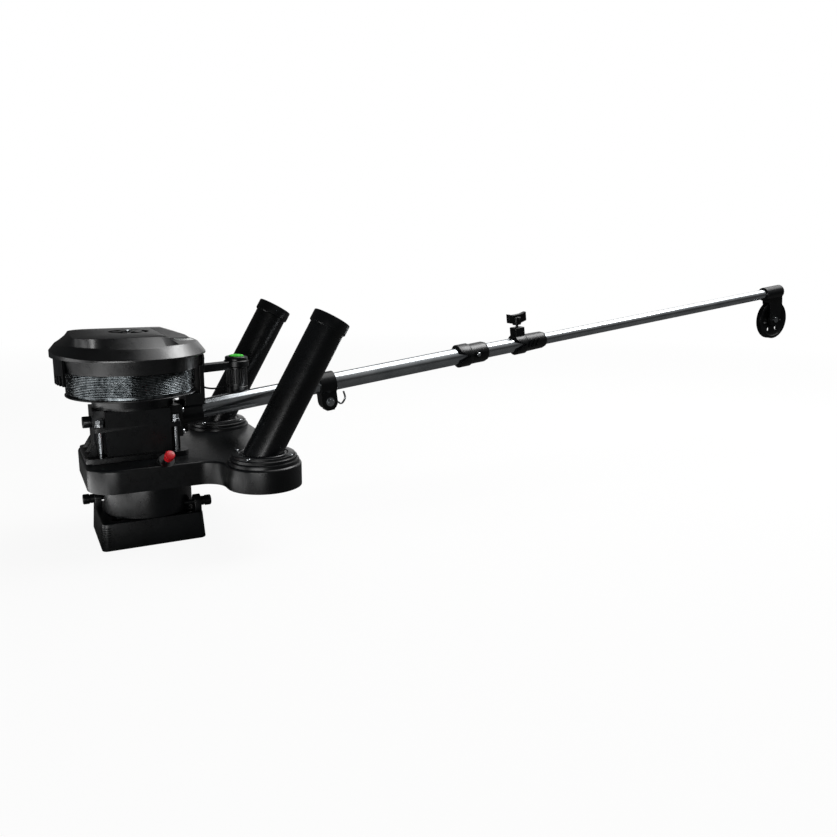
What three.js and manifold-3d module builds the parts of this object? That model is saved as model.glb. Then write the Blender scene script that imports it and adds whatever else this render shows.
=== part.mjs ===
// Electric downrigger: a motor driven reel on a turntable, with a sectional boom and two rod holders.
// Millimetres, +Z up, +X along the boom. The origin is under the deck bracket, on the swivel axis.

import * as THREE from 'three';
import { mergeVertices } from 'three/addons/utils/BufferGeometryUtils.js';
import Module from 'manifold-3d';

const wasm = await Module();
wasm.setup();

// Driving dimensions

const fit = 0.3; // gap between pieces that touch
const running = 0.5; // radial gap round a piece that turns or slides
const overrun = 2; // how far a cutting tool runs past the face that it cuts
const weldDistance = 0.0001;
const degree = Math.PI / 180;

const bracketLength = 161;
const bracketMiddleX = -3; // the bracket reaches further to the left of the swivel axis
const bracketWidth = 141;
const bracketHeight = 44;

const swivelRadius = 69;
const plateBottom = 101.4;
const plateHeight = 37.3;
const plateTop = plateBottom + plateHeight;

const frameHeight = 79; // from the plate to the top of the frame's deck
const spoolAxisX = -15;
const spoolFlangeRadius = 100;
const spoolWidth = 49.4;

const boomX = 155; // where the boom's height is given
const boomZ = 210.4;
const boomRise = 7.16 * degree;
const baseTubeRadius = 16;
const midTubeRadius = 14.5;
const tipTubeRadius = 11.5;

const holderX = 155;
const holderY = 147;
const holderTilt = 29.8 * degree;
const holderTubeRadius = 28.4;
const holderTubeLength = 239;

const sheaveRadius = 46;

// Facets of round pieces

const fineSides = 32;
const roundSides = 18;
const smallSides = 10;
const tinySides = 8;
const wheelSides = 20;
const hexSides = 6;
const lobeSteps = 8;
const cornerSteps = 4;

// The radius of a faceted bore whose flats lie at the radius given, so that what turns in it clears them
const overFlats = (radius, sides) => radius / Math.cos(Math.PI / sides);

// Materials

const material = (color, roughness, metalness = 0) =>
  new THREE.MeshStandardMaterial({ color, roughness, metalness });

const blackNylon = material(0x15171a, 0.55);
const blackTube = material(0x101215, 0.45);
const stainless = material(0xc9ced2, 0.2, 1);
const zincSteel = material(0xb4b8ba, 0.35, 1);
const brass = material(0xb08d4a, 0.35, 1);
const whiteAcetal = material(0xe8e8e2, 0.5);
const clearPane = material(0xcfd8da, 0.15);
const redPlastic = material(0xd3141c, 0.4);
const greenRubber = material(0x46d53a, 0.6);
const blackRubber = material(0x0d0d0e, 0.8);
const lineSteel = material(0xd7dddf, 0.25, 1);
const corkBrown = material(0x6b4f36, 0.9);

// Solids: geometries become manifolds to be joined and cut

function signedVolume(positions, triangles) {
  const [a, b, c] = [new THREE.Vector3(), new THREE.Vector3(), new THREE.Vector3()];
  let total = 0;
  for (let i = 0; i < triangles.length; i += 3) {
    a.fromArray(positions, 3 * triangles[i]);
    b.fromArray(positions, 3 * triangles[i + 1]);
    c.fromArray(positions, 3 * triangles[i + 2]);
    total += a.dot(b.cross(c));
  }
  return total;
}

function welded(geometry) {
  if (geometry.userData.closed) return geometry;
  const bare = geometry.clone();
  bare.deleteAttribute('normal');
  bare.deleteAttribute('uv');
  const merged = mergeVertices(bare, weldDistance);
  const index = merged.index.array;
  const triangles = [];
  for (let i = 0; i < index.length; i += 3) {
    const [a, b, c] = [index[i], index[i + 1], index[i + 2]];
    if (a !== b && b !== c && c !== a) triangles.push(a, b, c);
  }
  if (signedVolume(merged.attributes.position.array, triangles) < 0) triangles.reverse();
  merged.setIndex(triangles);
  merged.userData = { closed: true };
  return merged;
}

function toManifold(geometry) {
  const closed = welded(geometry);
  return new wasm.Manifold(new wasm.Mesh({
    numProp: 3,
    vertProperties: new Float32Array(closed.attributes.position.array),
    triVerts: new Uint32Array(closed.index.array),
  }));
}

function fromManifold(solid) {
  const { vertProperties, triVerts } = solid.getMesh();
  const geometry = new THREE.BufferGeometry();
  geometry.setAttribute('position', new THREE.BufferAttribute(vertProperties, 3));
  geometry.setIndex(Array.from(triVerts));
  geometry.userData = { closed: true };
  return geometry;
}

function join(first, ...others) {
  return fromManifold(others.reduce((solid, other) => solid.add(toManifold(other)), toManifold(first)));
}

function cut(first, ...tools) {
  return fromManifold(tools.reduce((solid, tool) => solid.subtract(toManifold(tool)), toManifold(first)));
}

function common(first, second) {
  return fromManifold(toManifold(first).intersect(toManifold(second)));
}

// Shapes

function cylinder(radius, from, to, sides = roundSides) {
  const geometry = new THREE.CylinderGeometry(radius, radius, to - from, sides);
  return geometry.rotateX(Math.PI / 2).translate(0, 0, (from + to) / 2);
}

function block([fromX, toX], [fromY, toY], [fromZ, toZ]) {
  const geometry = new THREE.BoxGeometry(toX - fromX, toY - fromY, toZ - fromZ);
  return geometry.translate((fromX + toX) / 2, (fromY + toY) / 2, (fromZ + toZ) / 2);
}

// A profile of [radius, height] pairs turned about Z
function revolve(profile, sides = roundSides) {
  const points = [...profile, profile[0]].map(([radius, height]) => new THREE.Vector2(radius, height));
  return new THREE.LatheGeometry(points, sides).rotateX(Math.PI / 2);
}

function ring(outer, inner, from, to, sides = roundSides) {
  return revolve([[inner, from], [outer, from], [outer, to], [inner, to]], sides);
}

function arc(x, y, radius, from, to, steps) {
  return Array.from({ length: steps + 1 }, (_, i) => {
    const angle = from + (to - from) * i / steps;
    return new THREE.Vector2(x + radius * Math.cos(angle), y + radius * Math.sin(angle));
  });
}

function roundedRectangle(halfX, halfY, radius, steps = 3) {
  const [x, y] = [halfX - radius, halfY - radius];
  const quarter = Math.PI / 2;
  return [
    ...arc(x, y, radius, 0, quarter, steps),
    ...arc(-x, y, radius, quarter, 2 * quarter, steps),
    ...arc(-x, -y, radius, 2 * quarter, 3 * quarter, steps),
    ...arc(x, -y, radius, 3 * quarter, 4 * quarter, steps),
  ];
}

function prism(outline, from, to) {
  const geometry = new THREE.ExtrudeGeometry(new THREE.Shape(outline), { depth: to - from, bevelEnabled: false });
  return geometry.translate(0, 0, from);
}

// A solid through level outlines of equal count, from the lowest up
function loft(sections) {
  const count = sections[0].outline.length;
  const positions = [];
  const triangles = [];
  for (const { z, outline } of sections) {
    for (const point of outline) positions.push(point.x, point.y, z);
  }
  for (let level = 0; level < sections.length - 1; level++) {
    for (let i = 0; i < count; i++) {
      const low = level * count + i;
      const lowNext = level * count + (i + 1) % count;
      triangles.push(low, lowNext, lowNext + count, low, lowNext + count, low + count);
    }
  }
  const top = (sections.length - 1) * count;
  for (const [a, b, c] of THREE.ShapeUtils.triangulateShape(sections[0].outline, [])) triangles.push(c, b, a);
  for (const [a, b, c] of THREE.ShapeUtils.triangulateShape(sections.at(-1).outline, [])) {
    triangles.push(top + a, top + b, top + c);
  }
  const geometry = new THREE.BufferGeometry();
  geometry.setAttribute('position', new THREE.Float32BufferAttribute(positions, 3));
  geometry.setIndex(triangles);
  return geometry;
}

// A sector of a ring about Z, between two angles
function ringSector(inner, outer, fromAngle, toAngle, from, to, steps) {
  const outline = [
    ...arc(0, 0, outer, fromAngle, toAngle, steps),
    ...arc(0, 0, inner, toAngle, fromAngle, steps),
  ];
  return prism(outline, from, to);
}

// A round tube swept along points, its first and last sections square to the path
function sweptTube(points, radius, sides) {
  const positions = [];
  const triangles = [];
  const side = new THREE.Vector3();
  const last = points.length - 1;
  const firstWay = points[1].clone().sub(points[0]).normalize();
  side.set(-firstWay.y, firstWay.x, 0);
  if (side.length() < Number.EPSILON) side.set(1, 0, 0);
  points.forEach((point, i) => {
    const way = points[Math.min(i + 1, last)].clone().sub(points[Math.max(i - 1, 0)]).normalize();
    side.addScaledVector(way, -side.dot(way)).normalize();
    const other = way.clone().cross(side);
    for (let k = 0; k < sides; k++) {
      const angle = 2 * Math.PI * k / sides;
      const around = side.clone().multiplyScalar(Math.cos(angle)).addScaledVector(other, Math.sin(angle));
      positions.push(...point.clone().addScaledVector(around, radius));
    }
  });
  for (let i = 0; i < last; i++) {
    for (let k = 0; k < sides; k++) {
      const a = i * sides + k;
      const b = i * sides + (k + 1) % sides;
      triangles.push(a, b, b + sides, a, b + sides, a + sides);
    }
  }
  for (let k = 1; k < sides - 1; k++) {
    triangles.push(0, k + 1, k);
    triangles.push(last * sides, last * sides + k, last * sides + k + 1);
  }
  const geometry = new THREE.BufferGeometry();
  geometry.setAttribute('position', new THREE.Float32BufferAttribute(positions, 3));
  geometry.setIndex(triangles);
  return geometry;
}

function piece(parent, name, geometry, look) {
  const mesh = new THREE.Mesh(welded(geometry), look);
  mesh.name = name;
  parent.add(mesh);
}

const alongX = (geometry) => geometry.rotateY(Math.PI / 2);
const alongY = (geometry) => geometry.rotateX(-Math.PI / 2);

// Deck bracket: draughted box with a floor, a pierced deck and two ears for the latch pins

const bracketDraft = 3;
const bracketCorner = 9;
const bracketWall = 6;
const bracketFloor = 8;
const bracketDeck = 6;
const spigotHalf = 44;
const deckHoleRadius = 4.2;
const deckAccessRadius = 9;
const deckHoleX = 56;
const deckHoleY = 49;
const latchY = 45;
const latchZ = 56;
const latchPinRadius = 4;
const latchDepth = 8; // how far a pin reaches into the swivel base
const latchKnobRadius = 8.5;
const latchKnobLength = 17;
const earHalfWidth = 12;
const earThickness = 11;

const bracketHalfX = bracketLength / 2;
const bracketHalfY = bracketWidth / 2;
const rightEarOuter = bracketHalfX + bracketMiddleX - bracketDraft;
const leftEarOuter = bracketHalfX - bracketMiddleX - bracketDraft;
const swivelEdgeAtLatch = Math.sqrt(swivelRadius ** 2 - latchY ** 2);

// An ear on the right side, its outer face at the distance given from the swivel axis
function latchEar(outer) {
  const rise = latchZ - bracketHeight;
  const post = block([0, earThickness], [-earHalfWidth, earHalfWidth], [-bracketDeck / 2, rise]);
  const crown = alongX(cylinder(earHalfWidth, 0, earThickness, smallSides)).translate(0, 0, rise);
  return join(post, crown).translate(outer - earThickness, -latchY, bracketHeight);
}

function deckBracket() {
  const outer = loft([
    { z: 0, outline: roundedRectangle(bracketHalfX, bracketHalfY, bracketCorner) },
    {
      z: bracketHeight,
      outline: roundedRectangle(bracketHalfX - bracketDraft, bracketHalfY - bracketDraft, bracketCorner),
    },
  ]).translate(bracketMiddleX, 0, 0);
  const inset = bracketDraft + bracketWall;
  const hollow = prism(
    roundedRectangle(bracketHalfX - inset, bracketHalfY - inset, bracketCorner),
    bracketFloor,
    bracketHeight - bracketDeck,
  ).translate(bracketMiddleX, 0, 0);
  const socket = block(
    [-spigotHalf - fit, spigotHalf + fit],
    [-spigotHalf - fit, spigotHalf + fit],
    [bracketHeight - bracketDeck - overrun, bracketHeight + overrun],
  );
  const holes = [];
  for (const x of [-deckHoleX, deckHoleX]) {
    for (const y of [-deckHoleY, deckHoleY]) {
      holes.push(cylinder(deckHoleRadius, -overrun, bracketFloor + overrun, smallSides).translate(x, y, 0));
      const access = cylinder(deckAccessRadius, bracketHeight - bracketDeck - overrun, bracketHeight + overrun, smallSides);
      holes.push(access.translate(x, y, 0));
    }
  }
  const body = cut(outer, hollow, socket, ...holes);
  const leftEar = latchEar(leftEarOuter).rotateZ(Math.PI);
  const pinHole = alongX(cylinder(latchPinRadius + running, -bracketLength, bracketLength, smallSides));
  const nearHole = pinHole.clone().translate(0, -latchY, latchZ);
  const farHole = pinHole.clone().translate(0, latchY, latchZ);
  const room = cylinder(swivelRadius + running, bracketHeight, bracketHeight + plateBottom, fineSides);
  return cut(join(body, latchEar(rightEarOuter), leftEar), nearHole, farHole, room);
}

// Swivel base: spigot, round body and a coned crown with sockets for the plunger

const spigotDepth = 22;
const swivelFoot = bracketHeight + fit;
const swivelNeckRadius = 66;
const swivelShoulderZ = 88;
const crownTopRadius = 50;
const crownTop = 125;
const swivelBoltRadius = 8;
const boltHeadRadius = 14;
const boltHeadHeight = 10;
const indexCount = 8;
const indexAngle = -80.5 * degree; // where the plunger stands, seen from above
const plungerElevation = 38 * degree;
const plungerPinRadius = 4;
const indexDepth = 7;
const knobReach = 112.5; // from the swivel axis to the middle of the pull knob
const knobZ = 154.3;

// Places a solid drawn along +Z onto the plunger's line, measured outward from the pull knob
function onPlunger(geometry, turn = indexAngle) {
  return geometry
    .rotateY(Math.PI / 2 - plungerElevation)
    .translate(knobReach, 0, knobZ)
    .rotateZ(turn);
}

// Distance along the plunger's line from the knob to the crown's cone
const coneSlope = Math.tan(plungerElevation);
const crownBottomRadius = crownTopRadius + (crownTop - plateBottom) * coneSlope;
const plungerReach = (knobReach - crownTopRadius + (knobZ - crownTop) * coneSlope)
  / (Math.cos(plungerElevation) + Math.sin(plungerElevation) * coneSlope);

function swivelBase() {
  const body = revolve([
    [0, swivelFoot - fit - spigotDepth / 2],
    [spigotHalf / 2, swivelFoot - fit - spigotDepth / 2],
    [spigotHalf / 2, swivelFoot],
    [swivelRadius, swivelFoot],
    [swivelRadius, swivelShoulderZ],
    [swivelNeckRadius, plateBottom - running],
    [crownBottomRadius, plateBottom],
    [crownTopRadius, crownTop],
    [0, crownTop],
  ], fineSides);
  const spigot = block(
    [-spigotHalf, spigotHalf],
    [-spigotHalf, spigotHalf],
    [bracketHeight - spigotDepth, swivelFoot + overrun],
  );
  const bore = cylinder(swivelBoltRadius + fit, 0, crownTop + overrun, smallSides);
  const headRoom = cylinder(boltHeadRadius + running * 2, 0, bracketHeight, smallSides);
  const sockets = Array.from({ length: indexCount }, (_, i) => {
    const socket = cylinder(plungerPinRadius + running, -plungerReach - indexDepth, -plungerReach + overrun, tinySides);
    return onPlunger(socket, indexAngle + 2 * Math.PI * i / indexCount);
  });
  const pinRoom = [1, -1].map((side) => {
    const reach = swivelEdgeAtLatch - latchDepth - fit;
    const room = alongX(cylinder(latchPinRadius + running, reach, swivelRadius, tinySides));
    return side > 0
      ? room.translate(0, -latchY, latchZ)
      : room.rotateZ(Math.PI).translate(0, latchY, latchZ);
  });
  return cut(join(body, spigot), bore, headRoom, ...sockets, ...pinRoom);
}

const nutHeight = 9;
const nutRadius = 12;
const washerRadius = 17;
const washerThickness = 2.5;
const washerTop = plateTop + fit + washerThickness;
const boltTop = washerTop + nutHeight + 2 * fit;

function swivelBolt() {
  const head = cylinder(boltHeadRadius, bracketHeight - boltHeadHeight - fit, bracketHeight - fit, hexSides);
  return join(head, cylinder(swivelBoltRadius, bracketHeight - boltHeadHeight, boltTop, smallSides));
}

function swivelNut() {
  const washer = cylinder(washerRadius, plateTop + fit, washerTop, smallSides);
  const nut = cylinder(nutRadius, washerTop - fit, washerTop + nutHeight, hexSides);
  const bore = cylinder(overFlats(swivelBoltRadius + fit, smallSides), plateTop, boltTop + overrun, smallSides);
  return cut(join(washer, nut), bore);
}

// A pin for the right side, its knob outside the ear whose outer face is given
function latchPin(outer) {
  const inner = swivelEdgeAtLatch - latchDepth;
  const pin = cylinder(latchPinRadius, inner, outer + latchKnobLength / 2, smallSides);
  const knobFrom = outer + fit;
  const waist = latchKnobLength / 3;
  const knob = revolve([
    [0, knobFrom],
    [latchKnobRadius - fit * 3, knobFrom],
    [latchKnobRadius - fit * 3, knobFrom + waist],
    [latchKnobRadius, knobFrom + waist],
    [latchKnobRadius, knobFrom + latchKnobLength],
    [0, knobFrom + latchKnobLength],
  ], smallSides);
  return alongX(join(pin, knob));
}

// Base plate: T-shaped moulding with two lobes, ribbed and open underneath

const stemLeft = -98;
const stemHalf = 107;
const stemCorner = 45;
const lobeRadius = 59;
const filletRadius = 33;
const plateWall = 5;
const plateSkin = 6;
const plateShoulder = 5;
const plateDraft = 1.5;
const ribThickness = 4;
const ribY = 56;
const ribX = 96;
const plateBossRadius = 40;
const lobeBossRadius = 55.5;
const lobeBossHeight = 5.8;
const lobeCoreRadius = 14;

function plateOutline(inset) {
  const centreY = stemHalf + filletRadius;
  const centreX = holderX - Math.sqrt((lobeRadius + filletRadius) ** 2 - (holderY - centreY) ** 2);
  const lean = Math.atan2(holderY - centreY, holderX - centreX);
  const lobe = lobeRadius - inset;
  const fillet = filletRadius + inset;
  const corner = stemCorner - inset;
  const cornerX = stemLeft + stemCorner;
  const cornerY = stemHalf - stemCorner;
  const quarter = Math.PI / 2;
  return [
    ...arc(holderX, -holderY, lobe, Math.PI - lean, 2 * Math.PI, lobeSteps).slice(1),
    ...arc(holderX, holderY, lobe, 0, Math.PI + lean, lobeSteps),
    ...arc(centreX, centreY, fillet, lean, -quarter, cornerSteps).slice(1),
    ...arc(cornerX, cornerY, corner, quarter, Math.PI, cornerSteps),
    ...arc(cornerX, -cornerY, corner, Math.PI, 3 * quarter, cornerSteps),
    ...arc(centreX, -centreY, fillet, quarter, -lean, cornerSteps),
  ];
}

const tieBoltRadius = 3;

const plungerBossRadius = 13;
const plungerBarrelRadius = 8.5;
const plungerBarrelFrom = -46; // along the plunger's line, from the knob
const plungerBarrelTo = -18;

function tieBoltPlaces() {
  const places = [];
  for (const x of [-1, 1]) {
    for (const y of [-1, 1]) places.push([spoolAxisX + x * tieBoltX, y * tieBoltY]);
  }
  return places;
}

const lobeTop = plateTop + lobeBossHeight;

function basePlate() {
  const outer = loft([
    { z: plateBottom, outline: plateOutline(0) },
    { z: plateTop - plateShoulder, outline: plateOutline(plateDraft) },
    { z: plateTop, outline: plateOutline(plateDraft + plateShoulder / 2) },
  ]);
  const hollow = prism(plateOutline(plateWall + plateDraft), plateBottom - overrun, plateTop - plateSkin);
  const skinUnder = plateTop - plateSkin;
  const ribs = [-ribY, ribY].map((y) => block(
    [stemLeft + plateWall, holderX],
    [y - ribThickness / 2, y + ribThickness / 2],
    [plateBottom + plateSkin / 2, skinUnder + overrun],
  ));
  const crossRibs = [ribX, holderX].map((x) => block(
    [x - ribThickness / 2, x + ribThickness / 2],
    [-stemHalf, stemHalf],
    [plateBottom + plateSkin / 2, skinUnder + overrun],
  ));
  const crownRoom = revolve([
    [0, plateBottom - overrun],
    [swivelRadius + running, plateBottom - overrun],
    [swivelRadius + running, plateBottom + plateSkin],
    [crownTopRadius + plungerBossRadius, crownTop + fit],
    [0, crownTop + fit],
  ], fineSides);
  const boss = cylinder(plateBossRadius, plateBottom, skinUnder + overrun);
  const lobeBosses = [-holderY, holderY].map((y) => revolve([
    [0, skinUnder],
    [lobeBossRadius, skinUnder],
    [lobeBossRadius, lobeTop - plateDraft],
    [lobeBossRadius - plateDraft, lobeTop],
    [0, lobeTop],
  ], roundSides).translate(holderX, y, 0));
  const lobeCores = [-holderY, holderY].map((y) =>
    cylinder(lobeCoreRadius, plateBottom + plateSkin / 2, skinUnder + overrun, smallSides).translate(holderX, y, 0));
  const shell = cut(outer, hollow);
  const ribbed = cut(join(shell, boss, ...ribs, ...crossRibs), crownRoom);
  const plungerBoss = common(
    onPlunger(cylinder(plungerBossRadius, -plungerReach, plungerBarrelTo - overrun, smallSides)),
    block([-stemHalf, stemHalf], [-stemHalf - overrun, 0], [skinUnder, plateTop + plungerBossRadius]),
  );
  const whole = join(ribbed, ...lobeBosses, ...lobeCores, plungerBoss);
  const bore = cylinder(swivelBoltRadius + running, plateBottom, plateTop + overrun, smallSides);
  const barrelHole = onPlunger(cylinder(plungerBarrelRadius + fit, -plungerReach, knobReach, smallSides));
  const flangeRoom = onPlunger(cylinder(plungerFlangeRadius + fit, bossFace, knobReach, smallSides));
  const tieHoles = tieBoltPlaces().map(([x, y]) =>
    cylinder(tieBoltRadius + fit, skinUnder - overrun, plateTop + overrun, tinySides).translate(x, y, 0));
  return cut(whole, bore, barrelHole, flangeRoom, ...tieHoles);
}

// Plunger: pin, barrel, spring and red pull knob, all along one slanted line

const plungerFlangeRadius = 12;
const plungerFlangeThickness = 3;
const barrelBoreRadius = 6.6;
const barrelEndWall = 3;
const pinCollarRadius = 6.2;
const pinCollarLength = 3;
const plungerThrow = 6; // how far the pin drops into a socket from where it is drawn
const springWire = 1.1;
const springTurns = 4;
const springStepsPerTurn = 8;
const springSides = 5;
const pullKnobRadius = 9.5;
const pullKnobLength = 12;
const pullKnobGrooves = 6;
const pullKnobGrooveRadius = 1.6;
const pullStemRadius = 6.4;

const bossFace = plungerBarrelTo - overrun;

const collarFrom = plungerBarrelFrom + barrelEndWall + plungerThrow + fit;
const springFrom = collarFrom + pinCollarLength + fit;
const springTo = bossFace - barrelEndWall;

function plungerHousing() {
  const top = bossFace + fit + plungerFlangeThickness;
  const barrel = cylinder(plungerBarrelRadius, plungerBarrelFrom, top, smallSides);
  const flange = cylinder(plungerFlangeRadius, bossFace + fit, top, smallSides);
  const bore = cylinder(barrelBoreRadius, plungerBarrelFrom + barrelEndWall, springTo + fit, smallSides);
  const pinHole = cylinder(plungerPinRadius + running, plungerBarrelFrom - overrun, top + overrun, smallSides);
  return onPlunger(cut(join(barrel, flange), bore, pinHole));
}

function plungerPin() {
  const pin = cylinder(plungerPinRadius, -plungerReach + running, -pullKnobLength / 4, smallSides);
  const collar = cylinder(pinCollarRadius, collarFrom, collarFrom + pinCollarLength, smallSides);
  return onPlunger(join(pin, collar));
}

function plungerSpring() {
  const radius = (plungerPinRadius + barrelBoreRadius) / 2;
  const length = springTo - springFrom - springWire;
  const steps = springTurns * springStepsPerTurn;
  const points = Array.from({ length: steps + 1 }, (_, i) => {
    const angle = 2 * Math.PI * i / springStepsPerTurn;
    return new THREE.Vector3(
      radius * Math.cos(angle),
      radius * Math.sin(angle),
      springFrom + springWire / 2 + length * i / steps,
    );
  });
  return onPlunger(sweptTube(points, springWire / 2, springSides));
}

function pullKnob() {
  const half = pullKnobLength / 2;
  const stemTo = bossFace + plungerFlangeThickness + plungerThrow + 2 * fit;
  const edge = pullKnobGrooveRadius;
  const body = revolve([
    [0, stemTo],
    [pullStemRadius, stemTo],
    [pullKnobRadius - edge, -half],
    [pullKnobRadius, -half + edge],
    [pullKnobRadius, half - edge],
    [pullKnobRadius - edge, half],
    [0, half],
  ], smallSides);
  const grooves = Array.from({ length: pullKnobGrooves }, (_, i) => {
    const angle = 2 * Math.PI * (i + 1 / 2) / pullKnobGrooves;
    const groove = cylinder(pullKnobGrooveRadius, -half + 2 * edge, half + overrun, tinySides);
    return groove.translate(pullKnobRadius * Math.cos(angle), pullKnobRadius * Math.sin(angle), 0);
  });
  const socket = cylinder(plungerPinRadius + fit, stemTo - overrun, -pullKnobLength / 4 + fit, smallSides);
  return onPlunger(cut(body, ...grooves, socket));
}

// Reel frame: hollow column with a foot, a shelf, open corner bays and side gussets

const frameHalfX = 65;
const frameHalfY = 50;
const frameNotch = 16;
const frameWall = 4;
const frameDeck = 5;
const footHalfY = 58;
const footLeft = -96;
const footRight = 60;
const footThickness = 8;
const footCorner = 12;
const shelfZ = 186;
const shelfThickness = 8;
const gussetTop = 166;
const gussetThickness = 5;
const gussetSpread = 36;
const bulkheadX = -11;
const tieBoltX = 57;
const tieBoltY = 42;
const washerCupRadius = 7.4;
const tieHeadRadius = 6.4;
const tieWasherHeight = 4;
const tieHeadHeight = 7;

const frameBottom = plateTop + fit;
const frameTop = plateTop + frameHeight;

// The boom's own axis as a turned and lifted frame
function onBoom(geometry) {
  return geometry.rotateY(-boomRise).translate(boomX, 0, boomZ);
}

const alongBoom = (x) => (x - boomX) / Math.cos(boomRise);

function crossOutline(inset) {
  const [x, y] = [frameHalfX - inset, frameHalfY - inset];
  const [innerX, innerY] = [x - frameNotch, y - frameNotch];
  const corners = [
    [x, -innerY], [x, innerY], [innerX, innerY], [innerX, y], [-innerX, y], [-innerX, innerY],
    [-x, innerY], [-x, -innerY], [-innerX, -innerY], [-innerX, -y], [innerX, -y], [innerX, -innerY],
  ];
  return corners.map(([cornerX, cornerY]) => new THREE.Vector2(cornerX + spoolAxisX, cornerY));
}

function reelFrame() {
  const column = prism(crossOutline(0), frameBottom, frameTop);
  const footHalfX = (footRight - footLeft) / 2;
  const foot = prism(roundedRectangle(footHalfX, footHalfY, footCorner), frameBottom, frameBottom + footThickness)
    .translate((footRight + footLeft) / 2, 0, 0);
  const shelf = prism(roundedRectangle(frameHalfX, frameHalfY, frameNotch / 4), shelfZ, shelfZ + shelfThickness)
    .translate(spoolAxisX, 0, 0);
  const left = spoolAxisX - frameHalfX;
  const gussets = [-gussetSpread, 0, gussetSpread].map((y) => {
    const outline = [[left + frameWall / 2, frameBottom + footThickness / 2], [left + frameWall / 2, gussetTop],
      [left, gussetTop], [footLeft + footThickness / 2, frameBottom + footThickness],
      [footLeft + footThickness / 2, frameBottom + footThickness / 2]];
    const gusset = prism(outline.map(([x, z]) => new THREE.Vector2(x, z)), -gussetThickness / 2, gussetThickness / 2);
    return gusset.rotateX(Math.PI / 2).translate(0, y, 0);
  });
  const hollow = prism(crossOutline(frameWall), frameBottom - overrun, frameTop - frameDeck);
  const bulkhead = block(
    [bulkheadX - frameWall / 2, bulkheadX + frameWall / 2],
    [-frameHalfY + frameWall / 2, frameHalfY - frameWall / 2],
    [gussetTop, frameTop - frameDeck / 2],
  );
  const shell = join(cut(join(column, foot, shelf, ...gussets), hollow), bulkhead);
  const boomHole = onBoom(alongX(cylinder(baseTubeRadius + fit, alongBoom(spoolAxisX), 0)));
  const shaftHole = cylinder(bearingRadius + fit, frameTop - frameDeck - overrun, frameTop + overrun, smallSides)
    .translate(spoolAxisX, 0, 0);
  const motorHole = cylinder(motorShaftRadius + 2 * running, frameTop - frameDeck - overrun, frameTop + overrun, smallSides)
    .translate(motorAxisX, 0, 0);
  const tieHoles = tieBoltPlaces().map(([x, y]) =>
    cylinder(tieBoltRadius + fit, frameBottom - overrun, shelfZ + shelfThickness + overrun, tinySides).translate(x, y, 0));
  return cut(shell, boomHole, shaftHole, motorHole, ...tieHoles);
}

// Tie bolt through the shelf and the plate: hex head on a thick round washer
function tieBolt() {
  const seat = shelfZ + shelfThickness + fit;
  return join(
    cylinder(tieBoltRadius, plateTop - plateSkin, seat + fit, tinySides),
    cylinder(washerCupRadius, seat, seat + tieWasherHeight, smallSides),
    cylinder(tieHeadRadius, seat + tieWasherHeight - fit, seat + tieWasherHeight + tieHeadHeight, hexSides),
  );
}

// Motor, under the deck of the frame

const gearModule = 2;
const drivenTeeth = 27;
const pinionTeeth = 9;
const motorAxisX = spoolAxisX - gearModule * (drivenTeeth + pinionTeeth) / 2;
const motorRadius = 22;
const motorLength = 54;
const motorCapLength = 9;
const motorCapRadius = 19;
const motorShaftRadius = 3;
const motorBoreDepth = 18;
const bearingRadius = 11;
const shaftRadius = 6;

const motorTop = frameTop - frameDeck - fit;

function motorCan() {
  const can = revolve([
    [0, motorTop - motorLength],
    [motorRadius - gearModule, motorTop - motorLength],
    [motorRadius, motorTop - motorLength + gearModule],
    [motorRadius, motorTop],
    [0, motorTop],
  ]);
  const bore = cylinder(motorShaftRadius + running, motorTop - motorBoreDepth, motorTop + overrun, smallSides);
  return cut(can, bore).translate(motorAxisX, 0, 0);
}

function motorEndCap() {
  const top = motorTop - motorLength - fit;
  return revolve([
    [0, top - motorCapLength],
    [motorCapRadius - gearModule * 2, top - motorCapLength],
    [motorCapRadius, top - motorCapLength / 2],
    [motorCapRadius, top],
    [0, top],
  ], smallSides).translate(motorAxisX, 0, 0);
}

// Gears: straight teeth with sloping flanks, thinned for backlash

const toothRootShare = 0.62;
const toothTipShare = 0.26;
const addendumShare = 0.95;
const dedendumShare = 1.2;

function gear(teeth, from, to, phase) {
  const pitchRadius = gearModule * teeth / 2;
  const rootRadius = pitchRadius - dedendumShare * gearModule;
  const tipRadius = pitchRadius + addendumShare * gearModule;
  const outline = [];
  for (let i = 0; i < teeth; i++) {
    const middle = (i + phase) * 2 * Math.PI / teeth;
    const half = Math.PI / teeth;
    outline.push(...arc(0, 0, rootRadius, middle - half * toothRootShare, middle - half * toothRootShare, 1).slice(1));
    outline.push(...arc(0, 0, tipRadius, middle - half * toothTipShare, middle + half * toothTipShare, 1));
    outline.push(...arc(0, 0, rootRadius, middle + half * toothRootShare, middle + half * toothRootShare, 1).slice(1));
  }
  return prism(outline, from, to);
}

// Gear case between the frame and the spool

const caseHeight = 18.3;
const caseRadius = 62;
const caseTopRadius = 66;
const caseWall = 5;
const caseTopWall = 4.5;
const gearThickness = 8;
const gearLift = 2.5;

const caseBottom = frameTop + fit;
const caseTop = caseBottom + caseHeight;
const gearBottom = frameTop + gearLift;

function gearCase() {
  const outer = revolve([
    [0, caseBottom],
    [caseRadius, caseBottom],
    [caseRadius, caseBottom + caseHeight / 3],
    [caseTopRadius, caseTop - overrun],
    [caseTopRadius, caseTop],
    [0, caseTop],
  ], roundSides);
  const hollow = cylinder(caseRadius - caseWall, caseBottom - overrun, caseTop - caseTopWall);
  const bore = cylinder(bearingRadius + fit, caseTop - caseTopWall - overrun, caseTop + overrun, smallSides);
  return cut(outer, hollow, bore).translate(spoolAxisX, 0, 0);
}

function bearing(from, to) {
  return ring(bearingRadius, shaftRadius + running, from, to, smallSides).translate(spoolAxisX, 0, 0);
}

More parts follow.
